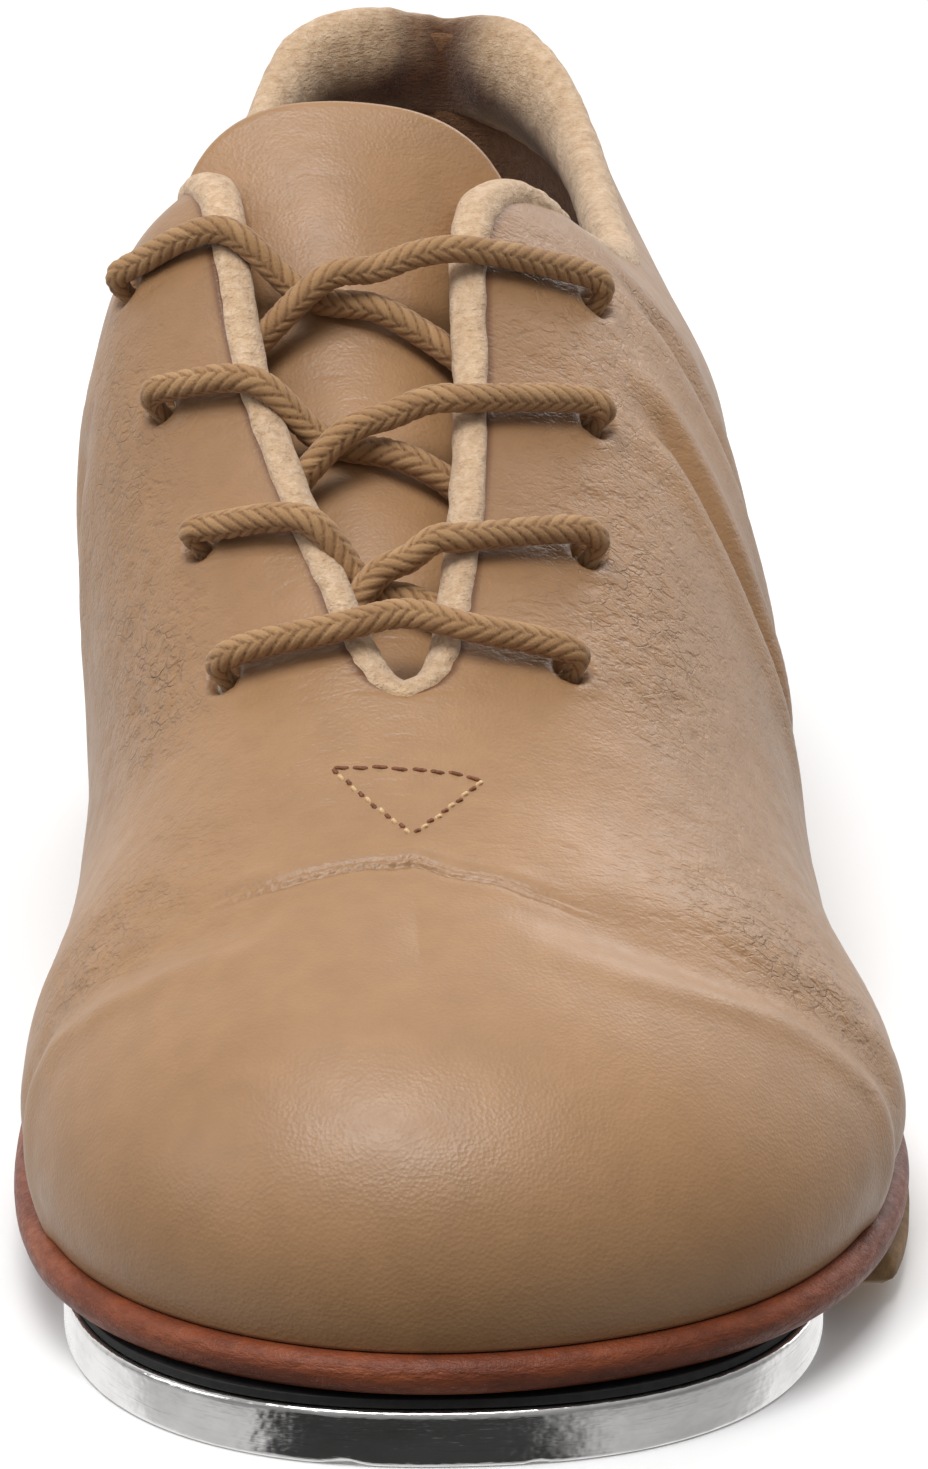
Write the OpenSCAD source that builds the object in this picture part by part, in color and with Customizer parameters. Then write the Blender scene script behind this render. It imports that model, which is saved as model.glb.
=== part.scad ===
// Laced split-sole tap shoe, left foot.
// Toe points along -Y, heel along +Y, outer side of the foot along +X, up is +Z, ground at z = 0.

/* [Overall] */
// Length from the front of the welt to the back of the heel
shoe_length = 251; // [236:1:266]
// Width of the upper across the ball
ball_width = 94; // [90:1:99]

/* [Upper] */
// Thickness of the outer leather
leather_t = 1.2; // [1:0.1:1.3]
// Thickness of the fleece lining
lining_t = 0.9; // [0.7:0.1:1]
// Thickness of the stiffeners inside toe, facings and heel
stiffener_t = 0.75; // [0.6:0.05:0.8]
// Width of each punched lace hole
hole_w = 4.4; // [4.2:0.1:4.8]

/* [Lace] */
// Diameter of the round braided lace
lace_d = 3.2; // [2.8:0.1:3.4]

/* [Toe end] */
// Thickness of the toe tap plate
tap_t = 4.2; // [3.6:0.1:4.6]
// Width of the toe tap plate
tap_w = 78; // [74:1:80]
// Thickness of the forefoot leather sole
sole_t = 4; // [3.4:0.1:4.4]

/* [Heel end] */
// Thickness of the heel tap plate
heel_tap_t = 4; // [3.4:0.1:4.4]
// Thickness of each heel lift
lift_t = 5.4; // [5:0.1:5.8]
// Radius of the tap screw heads
screw_head_r = 3.4; // [3:0.1:3.8]

/* [Hidden] */
$fn = 32;
kx = ball_width / 94;
ky = shoe_length / 251;
gap = 0.1;
board_t = 1;
seat_t = 4.2;
lift_count = 3;
tap_slope = 0.028;
tap_rear = -63;
front_stack = tap_t + board_t + sole_t + 0.2;
rear_stack = heel_tap_t + board_t + lift_count * lift_t + seat_t + 0.6;

// ---- Shape of the upper -------------------------------------------------------------------------
// One row per rib: feather-edge x and y, then the two shoulder points and the top point of the rib.
// Rows 0 to 14 run from the toe along the inner side to the heel, 15 to 27 return along the outer side.
rib_table = [
    [[-4, -124], [-4, -128, 26], [-4.5, -112, 38.5], [-4.5, -93, 41.2]],
    [[-25, -117], [-28, -121, 27], [-19, -106, 41], [-4.5, -88, 42.2]],
    [[-39, -101], [-43, -103, 27], [-26, -94, 43.5], [-4.5, -81, 43.6]],
    [[-43.8, -80], [-51, -81, 26], [-28.5, -75, 46.5], [-4.5, -72, 46]],
    [[-43.8, -57], [-48.5, -58, 28], [-29.5, -61, 53], [-4.5, -62.5, 50.2]],
    [[-41.7, -35], [-42, -38, 31], [-31.5, -48, 59], [-4.5, -52.5, 55.3]],
    [[-38.2, -14], [-40.5, -19, 36], [-39, -28, 70], [-6, -32, 67.5]],
    [[-33.5, 6], [-40.5, 2, 42], [-50.5, -8, 81], [-7.5, -10, 79.5]],
    [[-29, 26], [-38.5, 24, 46], [-51.5, 18, 93], [-9, 19, 100]],
    [[-27, 46], [-36.5, 46, 46], [-37.5, 38, 68], [-28, 36, 77]],
    [[-27, 66], [-32.5, 66, 46], [-33, 62, 62], [-25, 60, 74]],
    [[-27, 86], [-32, 86, 46], [-30, 83, 64], [-23, 82, 75]],
    [[-24, 104], [-28, 105, 46], [-24, 101, 66], [-19, 100, 79]],
    [[-15, 118], [-17, 122, 46], [-14, 115, 68], [-13, 113, 85.7]],
    [[1, 123.5], [1, 130.6, 46], [1, 119, 70], [2.5, 118.5, 85.4]],
    [[18, 118], [23.5, 122, 46], [16, 115, 68], [15.7, 113, 85.1]],
    [[26.5, 104], [33.5, 105, 46], [26, 101, 66], [22.5, 100, 79.4]],
    [[29, 86], [37.5, 86, 46], [32, 83, 64], [24.8, 82, 75]],
    [[28.5, 65], [41, 65, 46], [36, 61, 62], [25, 60, 74]],
    [[28.5, 44], [45, 44, 44], [37, 36, 66], [23, 36, 77]],
    [[31, 23], [49.5, 21, 42], [29.5, 19, 90], [-9, 19, 100]],
    [[36.5, 2], [50.5, -2, 38], [27, -8, 80], [-7.5, -10, 79.5]],
    [[41, -19], [47, -24, 32], [25.5, -29, 69], [-6, -32, 67.5]],
    [[43.8, -41], [46.5, -43, 26], [23.5, -49, 59], [-4.5, -52.5, 55.3]],
    [[46, -64], [55, -65, 23], [21, -63, 52], [-4.5, -62.5, 50.2]],
    [[43, -87], [52, -88, 25], [22, -79, 46.5], [-4.5, -72, 46]],
    [[34, -106], [38, -108, 26], [18.5, -96, 43.5], [-4.5, -81, 43.6]],
    [[19, -118.5], [22, -122.5, 27], [11, -107, 41], [-4.5, -88, 42.2]]
];
ribs_n = len(rib_table);
heel_u = 14;

// Height of the lasted edge along the shoe, every 20 mm from y = -140.
sole_rise = [2.8, 1.8, 1.1, 0.5, 0.1, 0.2, 1.5, 4, 7.4, 11, 14, 15.6, 16, 16, 16];
function b_weights(t) = [
    pow(1 - t, 3) / 6,
    (3 * t * t * t - 6 * t * t + 4) / 6,
    (-3 * t * t * t + 3 * t * t + 3 * t + 1) / 6,
    t * t * t / 6
];
function clamp_i(i, n) = max(0, min(n - 1, i));
function blend4(w, a, b, c, d) = w[0] * a + w[1] * b + w[2] * c + w[3] * d;
function rise(y) = let(
    s = (y / ky + 140) / 20,
    i = floor(s),
    w = b_weights(s - i),
    n = len(sole_rise)
) blend4(w, sole_rise[clamp_i(i - 1, n)], sole_rise[clamp_i(i, n)],
    sole_rise[clamp_i(i + 1, n)], sole_rise[clamp_i(i + 2, n)]);
// Change of stack height against the standard sole, eased from the front value to the rear value.
function stack_shift(y) = let(
    t = max(0, min(1, (y / ky - 5) / 55)),
    s = t * t * (3 - 2 * t)
) (front_stack - 9.4) * (1 - s) + (rear_stack - 26) * s;
// Upper face of the sole at a given y.
function sole_z(y) = 9.4 + rise(y) + stack_shift(y);

function at(p, lift) = [p[0] * kx, p[1] * ky, p[2] + lift];
function full_row(r) = let(
    y = r[0][1] * ky,
    s = stack_shift(y)
) [[r[0][0] * kx, y, sole_z(y) + 0.2], at(r[1], s), at(r[2], s), at(r[3], s)];
rows = [for (r = rib_table) full_row(r)];
function row(i) = rows[(i + 2 * ribs_n) % ribs_n];
knots = [for (i = [0:ribs_n - 1]) row(i) * (8 / 6) - (row(i - 1) + row(i + 1)) / 6];
function knot(i) = knots[(i + 2 * ribs_n) % ribs_n];
function rib(u) = let(i = floor(u), w = b_weights(u - i))
    blend4(w, knot(i - 1), knot(i), knot(i + 1), knot(i + 2));
function bez(c, v) = pow(1 - v, 3) * c[0] + 3 * pow(1 - v, 2) * v * c[1]
    + 3 * (1 - v) * v * v * c[2] + v * v * v * c[3];
function bez_slope(c, v) = pow(1 - v, 2) * (c[1] - c[0]) + 2 * (1 - v) * v * (c[2] - c[1])
    + v * v * (c[3] - c[2]);
function unit(p) = p / norm(p);

// Throat and facing edge: share of each rib that is leather, against distance from the toe in ribs.
throat_u = 5;
throat_table = [
    [5, 1], [5.06, 0.965], [5.15, 0.945], [5.35, 0.925], [5.6, 0.91], [6, 0.89], [7, 0.86],
    [7.6, 0.845], [8, 0.835], [8.2, 0.83], [8.4, 0.85], [8.6, 0.9], [8.8, 0.96], [9, 1]
];
function top_share(u) = lookup(abs(u), throat_table);

// Point of the upper: u counts ribs from the toe (inner side positive), v runs up the rib, d is depth.
function skin_n(u, v) = (v > 0.999 && abs(u) <= throat_u)
    ? let(r = rib(abs(u) + 0.1)[3] - rib(max(0, abs(u) - 0.1))[3]) unit([0, -r[2], r[1]])
    : let(du = rib(u + 0.02) - rib(u - 0.02)) unit(cross(bez_slope(rib(u), v), bez(du, v)));
function skin(u, v, d) = bez(rib(u), v) - skin_n(u, v) * d;
// On the inner side the lowest hole sits further out and the third further in than the rest of the row.
function drift(u, f) = u <= 0 ? 0 : max(0, 1 - abs(f - hole_f) / 0.165)
    * (0.028 * exp(-pow((u - 6.9) / 0.4, 2)) - 0.06 * exp(-pow((u - 5.2) / 0.4, 2)));
function cut_skin(u, f, d) = skin(u, (f + drift(u, f)) * top_share(u), d);

// Lace holes: rib positions and the band of the rib they sit in.
hole_us = [5.2, 6.05, 6.9, 7.62];
hole_f = 0.835;
hole_half_u = hole_w / 40;
hole_half_f = hole_w / 190;
front_end_u = 8.25;
fine_us = [for (i = [1:14]) i / 3];
side_us = concat(fine_us, [
    4.88, 5, hole_us[0] - hole_half_u, hole_us[0] + hole_half_u, 5.5, 5.75,
    hole_us[1] - hole_half_u, hole_us[1] + hole_half_u, 6.35, 6.6,
    hole_us[2] - hole_half_u, hole_us[2] + hole_half_u, 7.2, 7.45,
    hole_us[3] - hole_half_u, hole_us[3] + hole_half_u, front_end_u
]);
function mirrored(list) = [for (i = [len(list) - 1:-1:0]) -list[i]];
front_us = concat(mirrored(side_us), [0], side_us);
front_fs = [0, 0.08, 0.17, 0.27, 0.37, 0.47, 0.57, 0.66, 0.74,
    hole_f - hole_half_f, hole_f + hole_half_f, 0.93, 1];
function is_hole(ua, ub, fa, fb) = abs((fa + fb) / 2 - hole_f) < 0.01
    && len([for (h = hole_us) if (abs(abs(ua + ub) / 2 - h) < 0.01) h]) > 0;

// Closed shell between depths d0 and d1 over the grid us x fs; the ridge over the toe is welded.
module shell(us, fs, d0, d1) {
    n = len(us);
    m = len(fs);
    pts = concat(
        [for (u = us) for (f = fs) cut_skin(u, f, d0)],
        [for (u = us) for (f = fs) cut_skin(u, f, d1)]
    );
    function ridge(i, j) = j == m - 1 && fs[m - 1] == 1 && abs(us[i]) <= throat_u;
    function id(i, j, s) = s * n * m + ((ridge(i, j) && us[i] < 0) ? n - 1 - i : i) * m + j;
    function solid(i, j) = i >= 0 && i < n - 1 && j >= 0 && j < m - 1
        && !is_hole(us[i], us[i + 1], fs[j], fs[j + 1]);
    function quad(a, b, c, d) = [[c, b, a], [d, c, a]];
    faces = [
        for (i = [0:n - 2]) for (j = [0:m - 2]) if (solid(i, j))
            each concat(
                quad(id(i, j, 0), id(i, j + 1, 0), id(i + 1, j + 1, 0), id(i + 1, j, 0)),
                quad(id(i, j, 1), id(i + 1, j, 1), id(i + 1, j + 1, 1), id(i, j + 1, 1)),
                solid(i - 1, j) ? [] : quad(id(i, j, 1), id(i, j + 1, 1), id(i, j + 1, 0), id(i, j, 0)),
                solid(i + 1, j) ? []
                    : quad(id(i + 1, j, 0), id(i + 1, j + 1, 0), id(i + 1, j + 1, 1), id(i + 1, j, 1)),
                solid(i, j - 1) ? [] : quad(id(i, j, 0), id(i + 1, j, 0), id(i + 1, j, 1), id(i, j, 1)),
                (solid(i, j + 1) || (ridge(i, j + 1) && ridge(i + 1, j + 1))) ? []
                    : quad(id(i, j + 1, 1), id(i + 1, j + 1, 1), id(i + 1, j + 1, 0), id(i, j + 1, 0))
            )
    ];
    polyhedron(points = pts, faces = faces, convexity = 6);
}

// Stack of equal rings joined into one closed body, its ends zipped across from side to side.
module ring_body(rings) {
    m = len(rings[0]);
    k = len(rings);
    pts = [for (r = rings) each r];
    function zip(s) = [
        for (i = [0:ceil(m / 2) - 2])
            each (i + 1 >= m - 2 - i)
                ? [[s + i, s + i + 1, s + m - 1 - i]]
                : [[s + i, s + i + 1, s + m - 2 - i], [s + i, s + m - 2 - i, s + m - 1 - i]]
    ];
    function flip(list) = [for (t = list) [t[2], t[1], t[0]]];
    sides = [
        for (r = [0:k - 2]) for (i = [0:m - 1])
            each let(a = r * m + i, b = r * m + (i + 1) % m, c = b + m, d = a + m) [[a, b, c], [a, c, d]]
    ];
    polyhedron(points = pts, faces = concat(flip(zip(0)), sides, zip((k - 1) * m)), convexity = 6);
}

// Outline of the sole at feather-edge position u, moved outwards by e.
function edge_xy(u) = let(p = rib(u)[0]) [p[0], p[1]];
function edge_out(u) = let(d = edge_xy(u + 0.05) - edge_xy(u - 0.05)) [-d[1], d[0]] / norm(d);
function outline(us, e) = [for (u = us) edge_xy(u) + edge_out(u) * e];
front_outline_us = [for (i = [-21:21]) i / 3];
rear_outline_us = [for (i = [0:24]) 10 + i / 3];

// Layer following the sole curve: z0 and z1 are heights from the sole's upper face.
module sole_layer(us, e, z0, z1) {
    flat = outline(us, e);
    ring_body([
        for (z = [z0, z1]) [for (p = flat) [p[0], p[1], sole_z(p[1]) + z]]
    ]);
}

// Round or oval cord along a list of points.
function frames(pts, i, prev) = i >= len(pts) ? [] : let(
    a = pts[max(0, i - 1)],
    b = pts[min(len(pts) - 1, i + 1)],
    t = unit(b - a),
    s = unit(prev - t * (prev * t))
) concat([[s, cross(t, s)]], frames(pts, i + 1, s));
module tube(pts, ra, rb, start_side, sides = 8) {
    fr = frames(pts, 0, start_side);
    n = len(pts);
    ring_pts = [
        for (i = [0:n - 1]) for (k = [0:sides - 1])
            pts[i] + fr[i][0] * ra * cos(360 * k / sides) + fr[i][1] * rb * sin(360 * k / sides)
    ];
    caps = [[for (k = [0:sides - 1]) k], [for (k = [sides - 1:-1:0]) (n - 1) * sides + k]];
    walls = [
        for (i = [0:n - 2]) for (k = [0:sides - 1])
            each let(
                a = i * sides + k, b = i * sides + (k + 1) % sides
            ) [[b + sides, b, a], [a + sides, b + sides, a]]
    ];
    polyhedron(points = ring_pts, faces = concat(caps, walls), convexity = 10);
}
// Smooth path through hand-set points, n steps between neighbours.
function path_pt(p, i) = p[clamp_i(i, len(p))];
function curve(p, n) = concat(
    [for (i = [0:len(p) - 2]) for (k = [0:n - 1]) let(
        t = k / n,
        a = path_pt(p, i - 1), b = path_pt(p, i), c = path_pt(p, i + 1), d = path_pt(p, i + 2)
    ) 0.5 * (2 * b + (c - a) * t + (2 * a - 5 * b + 4 * c - d) * t * t + (3 * b - a - 3 * c + d) * t * t * t)],
    [p[len(p) - 1]]
);

// ---- Depths of the layers, measured inwards from the outer surface --------------------------------
stiff_0 = leather_t + 0.05;
stiff_1 = stiff_0 + stiffener_t;
lining_0 = stiff_1 + 0.07;
lining_1 = lining_0 + lining_t;

puff_us = [for (u = front_us) if (abs(u) < 2.7) u];
stay_us = [for (u = side_us) if (u > throat_u + 0.05) u];
stay_fs = [for (f = front_fs) if (f > 0.6) f];
waist_us = [for (i = [0:7]) 8.3 + i * 0.2];
waist_fs = [0, 0.1, 0.2, 0.32, 0.45, 0.58, 0.7, 0.81, 0.9];
quarter_us = concat([9.76], [for (i = [30:41]) i / 3], [13.99]);
quarter_fs = [0, 0.1, 0.2, 0.3, 0.42, 0.54, 0.66, 0.74, 0.83, 0.92];
counter_us = concat([for (u = quarter_us) if (u > 10.9) u], [for (i = [len(quarter_us) - 1:-1:0])
    if (quarter_us[i] > 10.9) 28 - quarter_us[i]]);
counter_fs = [for (f = quarter_fs) if (f < 0.8) f];

module vamp_leather() {
    color("tan") shell(front_us, front_fs, 0, leather_t);
}
module vamp_lining() {
    color("wheat") shell(front_us, front_fs, lining_0, lining_1);
}
module toe_puff() {
    color("gray") shell(puff_us, front_fs, stiff_0, stiff_1);
}
module facing_stay_medial() {
    color("gray") shell(stay_us, stay_fs, stiff_0, stiff_1);
}
module facing_stay_lateral() {
    color("gray") shell(mirrored(stay_us), stay_fs, stiff_0, stiff_1);
}

// Rolled fleece edge around the V of the throat, just clear of the leather's cut edge.
binding_r = 1.55;
binding_side = [5.07, 5.2, 5.4, 5.7, 6.1, 6.5, 6.9, 7.3, 7.7, 8, 8.12, 8.22];
binding_us = concat(mirrored(binding_side), [5], binding_side);
function edge_pt(u) = cut_skin(u, 1, 1.5);
function edge_dir(list, i) = unit(edge_pt(list[min(len(list) - 1, i + 1)]) - edge_pt(list[max(0, i - 1)]));
binding_path = [
    for (i = [0:len(binding_us) - 1]) let(
        u = binding_us[i],
        side = cross(edge_dir(binding_us, i), skin_n(u, top_share(u)))
    ) edge_pt(u) + unit(side) * (binding_r + 0.28)
];
module throat_binding() {
    color("wheat") tube(curve(binding_path, 2), binding_r, binding_r, [0, 0, 1]);
}

// Tongue: one row across per entry, [y, z and x of the middle, half width, drop of the edges].
tongue_rows = [
    [-62, 45, -4.5, 15, 5.5], [-54, 49, -4.5, 17, 7.5], [-46, 52.6, -5, 19, 11.5], [-37, 57.2, -5.5, 20.5, 15],
    [-28, 62.8, -6, 21.5, 16], [-18, 68.5, -7, 22, 16.5], [-9, 74, -8, 22, 17.5], [-1, 79.2, -8.5, 21.5, 18],
    [7, 85, -9, 20.5, 17.5], [14, 91, -9, 19.5, 17.5], [20, 96.3, -9, 18.5, 17.5], [22.3, 98.2, -7.7, 16, 10.5],
    [23.8, 99.3, -7.7, 14.2, 6], [24.5, 99.8, -7.7, 11, 2.8]
];
function tongue_grid() = [
    for (r = tongue_rows) [
        for (k = [-5:5]) let(t = k / 5)
            [(r[2] + t * r[3]) * kx, r[0] * ky, r[1] - r[4] * t * t + stack_shift(r[0] * ky)]
    ]
];
function grid_n(g, i, j) = unit(cross(
    g[i][min(len(g[0]) - 1, j + 1)] - g[i][max(0, j - 1)],
    g[min(len(g) - 1, i + 1)][j] - g[max(0, i - 1)][j]
));
function sunk(g, d) = [
    for (i = [0:len(g) - 1]) [for (j = [0:len(g[0]) - 1]) g[i][j] - grid_n(g, i, j) * d]
];
// Closed sheet between two equal grids of points.
module plate(top, bottom) {
    n = len(top);
    m = len(top[0]);
    function id(i, j, s) = s * n * m + i * m + j;
    function quad(a, b, c, d) = [[a, b, c], [a, c, d]];
    faces = concat(
        [for (i = [0:n - 2]) for (j = [0:m - 2]) each concat(
            quad(id(i, j, 0), id(i + 1, j, 0), id(i + 1, j + 1, 0), id(i, j + 1, 0)),
            quad(id(i, j, 1), id(i, j + 1, 1), id(i + 1, j + 1, 1), id(i + 1, j, 1))
        )],
        [for (j = [0:m - 2]) each concat(
            quad(id(0, j, 0), id(0, j + 1, 0), id(0, j + 1, 1), id(0, j, 1)),
            quad(id(n - 1, j, 1), id(n - 1, j + 1, 1), id(n - 1, j + 1, 0), id(n - 1, j, 0))
        )],
        [for (i = [0:n - 2]) each concat(
            quad(id(i, 0, 1), id(i + 1, 0, 1), id(i + 1, 0, 0), id(i, 0, 0)),
            quad(id(i, m - 1, 0), id(i + 1, m - 1, 0), id(i + 1, m - 1, 1), id(i, m - 1, 1))
        )]
    );
    polyhedron(points = concat([for (r = top) each r], [for (r = bottom) each r]), faces = faces, convexity = 4);
}
module tongue_leather() {
    g = tongue_grid();
    color("tan") plate(g, sunk(g, leather_t));
}
module tongue_lining() {
    g = tongue_grid();
    color("wheat") plate(sunk(g, leather_t + 0.05), sunk(g, leather_t + 0.05 + lining_t));
}

// Sewn triangle on the vamp: three runs of short stitches lying on the leather.
stitch_r = 0.22;
stitch_lift = -0.3;
stitch_runs = [
    [[4, 0.9], [3.05, 0.995]], [[-3.85, 0.92], [-3.05, 0.995]],
    [[3.99, 0.906], [3.94, 0.998]], [[-3.94, 0.994], [-3.86, 0.924]]
];
stitch_counts = [8, 8, 5, 5];
module vamp_stitching() {
    color("sienna") for (r = [0:3]) {
        a = stitch_runs[r][0];
        b = stitch_runs[r][1];
        for (k = [0:stitch_counts[r] - 1]) {
            p = a + (b - a) * ((k + 0.16) / stitch_counts[r]);
            q = a + (b - a) * ((k + 0.8) / stitch_counts[r]);
            tube([skin(p[0], p[1], stitch_lift), skin(q[0], q[1], stitch_lift)],
                stitch_r, stitch_r, [0, 0, 1], 6);
        }
    }
}

// One round lace: straight across the lowest pair of holes, crossed above, its ends tucked inside.
lace_route = [
    [37.25, -45.5, 22.75], [32.75, -23.75, 34.25], [27.75, -3, 50.5], [20.75, 9.75, 66.5], [16.5, 11, 77],
    [19, 9.5, 79], [19.75, 9, 81.5], [17.25, 8, 83.5], [5, 1.5, 88], [-1, 0.5, 88],
    [-6.25, -0.5, 86.5], [-12.25, -1.5, 85.5], [-21, -2.5, 77], [-26, -3.5, 72.75], [-28, -6.75, 71],
    [-30.25, -8.75, 72.75], [-31.25, -10, 74.75], [-29.5, -11.25, 76.25], [-20, -15, 78], [-12.5, -16, 71.5],
    [-5, -18.5, 70.5], [-1, -19.5, 69], [3.5, -20.5, 66], [11, -24, 60.5], [14.75, -26.5, 59.5],
    [16.25, -28.5, 61.5], [17, -29.5, 64], [14, -30.5, 65.5], [2.25, -36, 66.5], [-0.75, -36.5, 66.5],
    [-3.75, -37, 64.5], [-7, -37.5, 63], [-11.25, -38.5, 58], [-18.75, -40, 52.25], [-21.5, -42, 51.5],
    [-23.25, -44, 53.25], [-24.25, -45, 55.75], [-20.75, -46.25, 58], [-11.75, -48, 60.5], [-4.5, -46.5, 61.5],
    [2.5, -48.5, 60.5], [10, -47.5, 58.5], [13.75, -47, 57], [13.5, -46, 54.5], [12, -44, 52],
    [9.25, -41.5, 52], [1.5, -38.5, 57], [-0.75, -38, 59], [-3.75, -37, 60], [-8.5, -35.5, 61],
    [-14.5, -34, 68], [-24.5, -29.5, 66], [-27, -28.5, 65], [-25.75, -27, 62.5], [-24.25, -25, 61],
    [-21.75, -22.5, 61.75], [-16.75, -21, 66.5], [-10.25, -20.5, 73.5], [-5, -18.5, 75], [-0.75, -18, 76.5],
    [4.25, -17.5, 76.5], [15.5, -11.5, 74.5], [18.75, -10.5, 73], [17.75, -9, 70.5], [15.75, -7.5, 68],
    [12.25, -4.25, 70], [4, -3, 76], [-1, -1.5, 79.25], [-6.25, -0.5, 82], [-14, 1.5, 83],
    [-23.25, 4, 90], [-33, 8, 85], [-35, 9, 83], [-33.5, 10, 80.5], [-30.5, 11, 79.25],
    [-31, 10.25, 70.75], [-32.5, -1.5, 55.75], [-31.5, -19.75, 38], [-34.25, -41, 25.25]
];
function placed(p) = [p[0] * kx, p[1] * ky, p[2] + stack_shift(p[1] * ky)];
lace_path = [for (p = lace_route) placed(p)];
module lace() {
    color("peru") tube(lace_path, lace_d / 2, lace_d / 2, [0, 0, 1]);
}
tip_r = 1.5;
tip_spots = [[[37.4, -46.5, 22.2], [38.6, -59.5, 17.6]], [[-34.4, -42.2, 24.8], [-35.3, -55, 19.8]]];
module lace_tips() {
    color("saddlebrown") for (t = tip_spots) tube([placed(t[0]), placed(t[1])], tip_r, tip_r, [0, 0, 1]);
}

// ---- Forefoot bottom ------------------------------------------------------------------------------
module front_bottom_filler() {
    color("peru") sole_layer(front_outline_us, -3.7, 0.15, 0.85);
}
module front_insole_board() {
    color("saddlebrown") sole_layer(front_outline_us, -3.7, 1, 2.6);
}
module front_sock() {
    color("wheat") sole_layer(front_outline_us, -4, 2.7, 4.5);
}
welt_profile = [[0.9, 0], [1.7, 0.5], [2.1, 1.4], [2.1, 2.5], [1.6, 3.4], [0.6, 4]];
module forefoot_outsole() {
    color("sienna") ring_body([
        for (p = welt_profile) let(z = (p[1] / 4 - 1) * sole_t)
            [for (q = outline(front_outline_us, p[0])) [q[0], q[1], sole_z(q[1]) + z]]
    ]);
}
// Grip pad: behind the tap, with an arm running forward beside it along the outer edge.
pad_t = 3.8;
pad_outer = [-7, -6.65, -6.3, -5.95, -5.6, -5.2, -4.8, -4.4, -4.12, -4.02, -3.7, -3.4, -3.1, -2.87];
pad_inner = concat(
    [for (u = [7, 6.65, 6.3, 5.95, 5.6, 5.2, 4.8, 4.45, 4.12]) edge_xy(u) - edge_out(u) * 4],
    [for (y = [-61, -69, -77, -84, -89.5]) [39.3 * kx, y * ky]]
);
module forefoot_grip_pad() {
    flat = concat(
        [for (u = pad_outer) edge_xy(u) + edge_out(u) * 0.9],
        [for (i = [len(pad_inner) - 1:-1:0]) pad_inner[i]]
    );
    color("saddlebrown") ring_body([
        for (z = [-sole_t - 0.05 - pad_t, -sole_t - 0.05]) [for (p = flat) [p[0], p[1], sole_z(p[1]) + z]]
    ]);
}

// Toe tap: superellipse front, rounded rear corners. It lies flat on the ground and its upper
// face rises towards the toe, so the plate is a slight wedge.
tap_half = tap_w / 2;
tap_nose = 37.5;
tap_centre_y = -88;
tap_power = 0.86;
tap_corner_r = 9;
tap_step = 7.5;
function signed_pow(a, p) = sign(a) * pow(abs(a), p);
function tap_points(e) = let(r = tap_corner_r) concat(
    [for (a = [180:tap_step:360]) [
        tap_x + (tap_half - e) * signed_pow(cos(a), tap_power),
        tap_centre_y * ky + (tap_nose - e) * signed_pow(sin(a), tap_power)
    ]],
    [for (a = [0:15:90]) [tap_x + tap_half - 2 - r + (r - e) * cos(a), tap_rear * ky - r + (r - e) * sin(a)]],
    [for (a = [90:15:180]) [tap_x - tap_half + 2 + r + (r - e) * cos(a), tap_rear * ky - r + (r - e) * sin(a)]]
);
tap_x = -2;
tap_screws = [[tap_x, -112], [tap_x - 26, -76], [tap_x + 26, -76]];
screw_sink = 2;
screw_shank_r = 1.6;
module tilted() {
    translate([0, tap_rear * ky, 0]) rotate([-atan(tap_slope), 0, 0]) translate([0, -tap_rear * ky, 0])
        children();
}
module tap_hole(p, t) {
    translate([p[0], p[1] * ky, -1]) cylinder(r = screw_shank_r + 0.2, h = t + 2);
    translate([p[0], p[1] * ky, -3]) cylinder(r = screw_head_r + 0.3, h = 3.01);
    translate([p[0], p[1] * ky, 0]) cylinder(r1 = screw_head_r + 0.3, r2 = screw_shank_r + 0.2, h = screw_sink);
}
module toe_tap() {
    color("silver") difference() {
        intersection() {
            union() {
                linear_extrude(0.8) polygon(tap_points(0.9));
                translate([0, 0, 0.8]) linear_extrude(tap_t * 2) polygon(tap_points(0));
            }
            tilted() translate([tap_x - tap_w, (tap_rear - 90) * ky, tap_t - 20]) cube([tap_w * 2, 100 * ky, 20]);
        }
        tilted() for (p = tap_screws) tap_hole(p, tap_t);
    }
}
module toe_tap_board() {
    color("black") tilted() translate([0, 0, tap_t + 0.08]) difference() {
        linear_extrude(board_t) polygon(tap_points(0.9));
        for (p = tap_screws) translate([p[0], p[1] * ky, -1])
            cylinder(r = screw_shank_r + 0.2, h = board_t + 2);
    }
}
module tap_screw(length) {
    cylinder(r1 = screw_head_r, r2 = screw_shank_r, h = screw_sink - 0.1);
    cylinder(r = screw_shank_r, h = length);
}
module toe_tap_screws() {
    color("lightgray") tilted() for (p = tap_screws) translate([p[0], p[1] * ky, 0.15])
        tap_screw(tap_t + board_t + sole_t * 0.7);
}

// ---- Waist: soft pieces that bend between the two halves of the sole -------------------------------
module waist_leather_medial() {
    color("tan") shell(waist_us, waist_fs, 0, leather_t);
}
module waist_leather_lateral() {
    color("tan") shell(mirrored(waist_us), waist_fs, 0, leather_t);
}
module waist_lining_medial() {
    color("wheat") shell(waist_us, waist_fs, lining_0, lining_1);
}
module waist_lining_lateral() {
    color("wheat") shell(mirrored(waist_us), waist_fs, lining_0, lining_1);
}
collar_f = 1;
collar_depth = 2.2;
waist_collar_r = 2.3;
module waist_collar_medial() {
    path = [for (u = [8.5:0.14:9.7]) cut_skin(u, collar_f, collar_depth)];
    color("wheat") tube(path, waist_collar_r, waist_collar_r, [0, 0, 1]);
}
module waist_collar_lateral() {
    path = [for (u = [8.5:0.14:9.7]) cut_skin(-u, collar_f, collar_depth)];
    color("wheat") tube(path, waist_collar_r, waist_collar_r, [0, 0, 1]);
}
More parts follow.
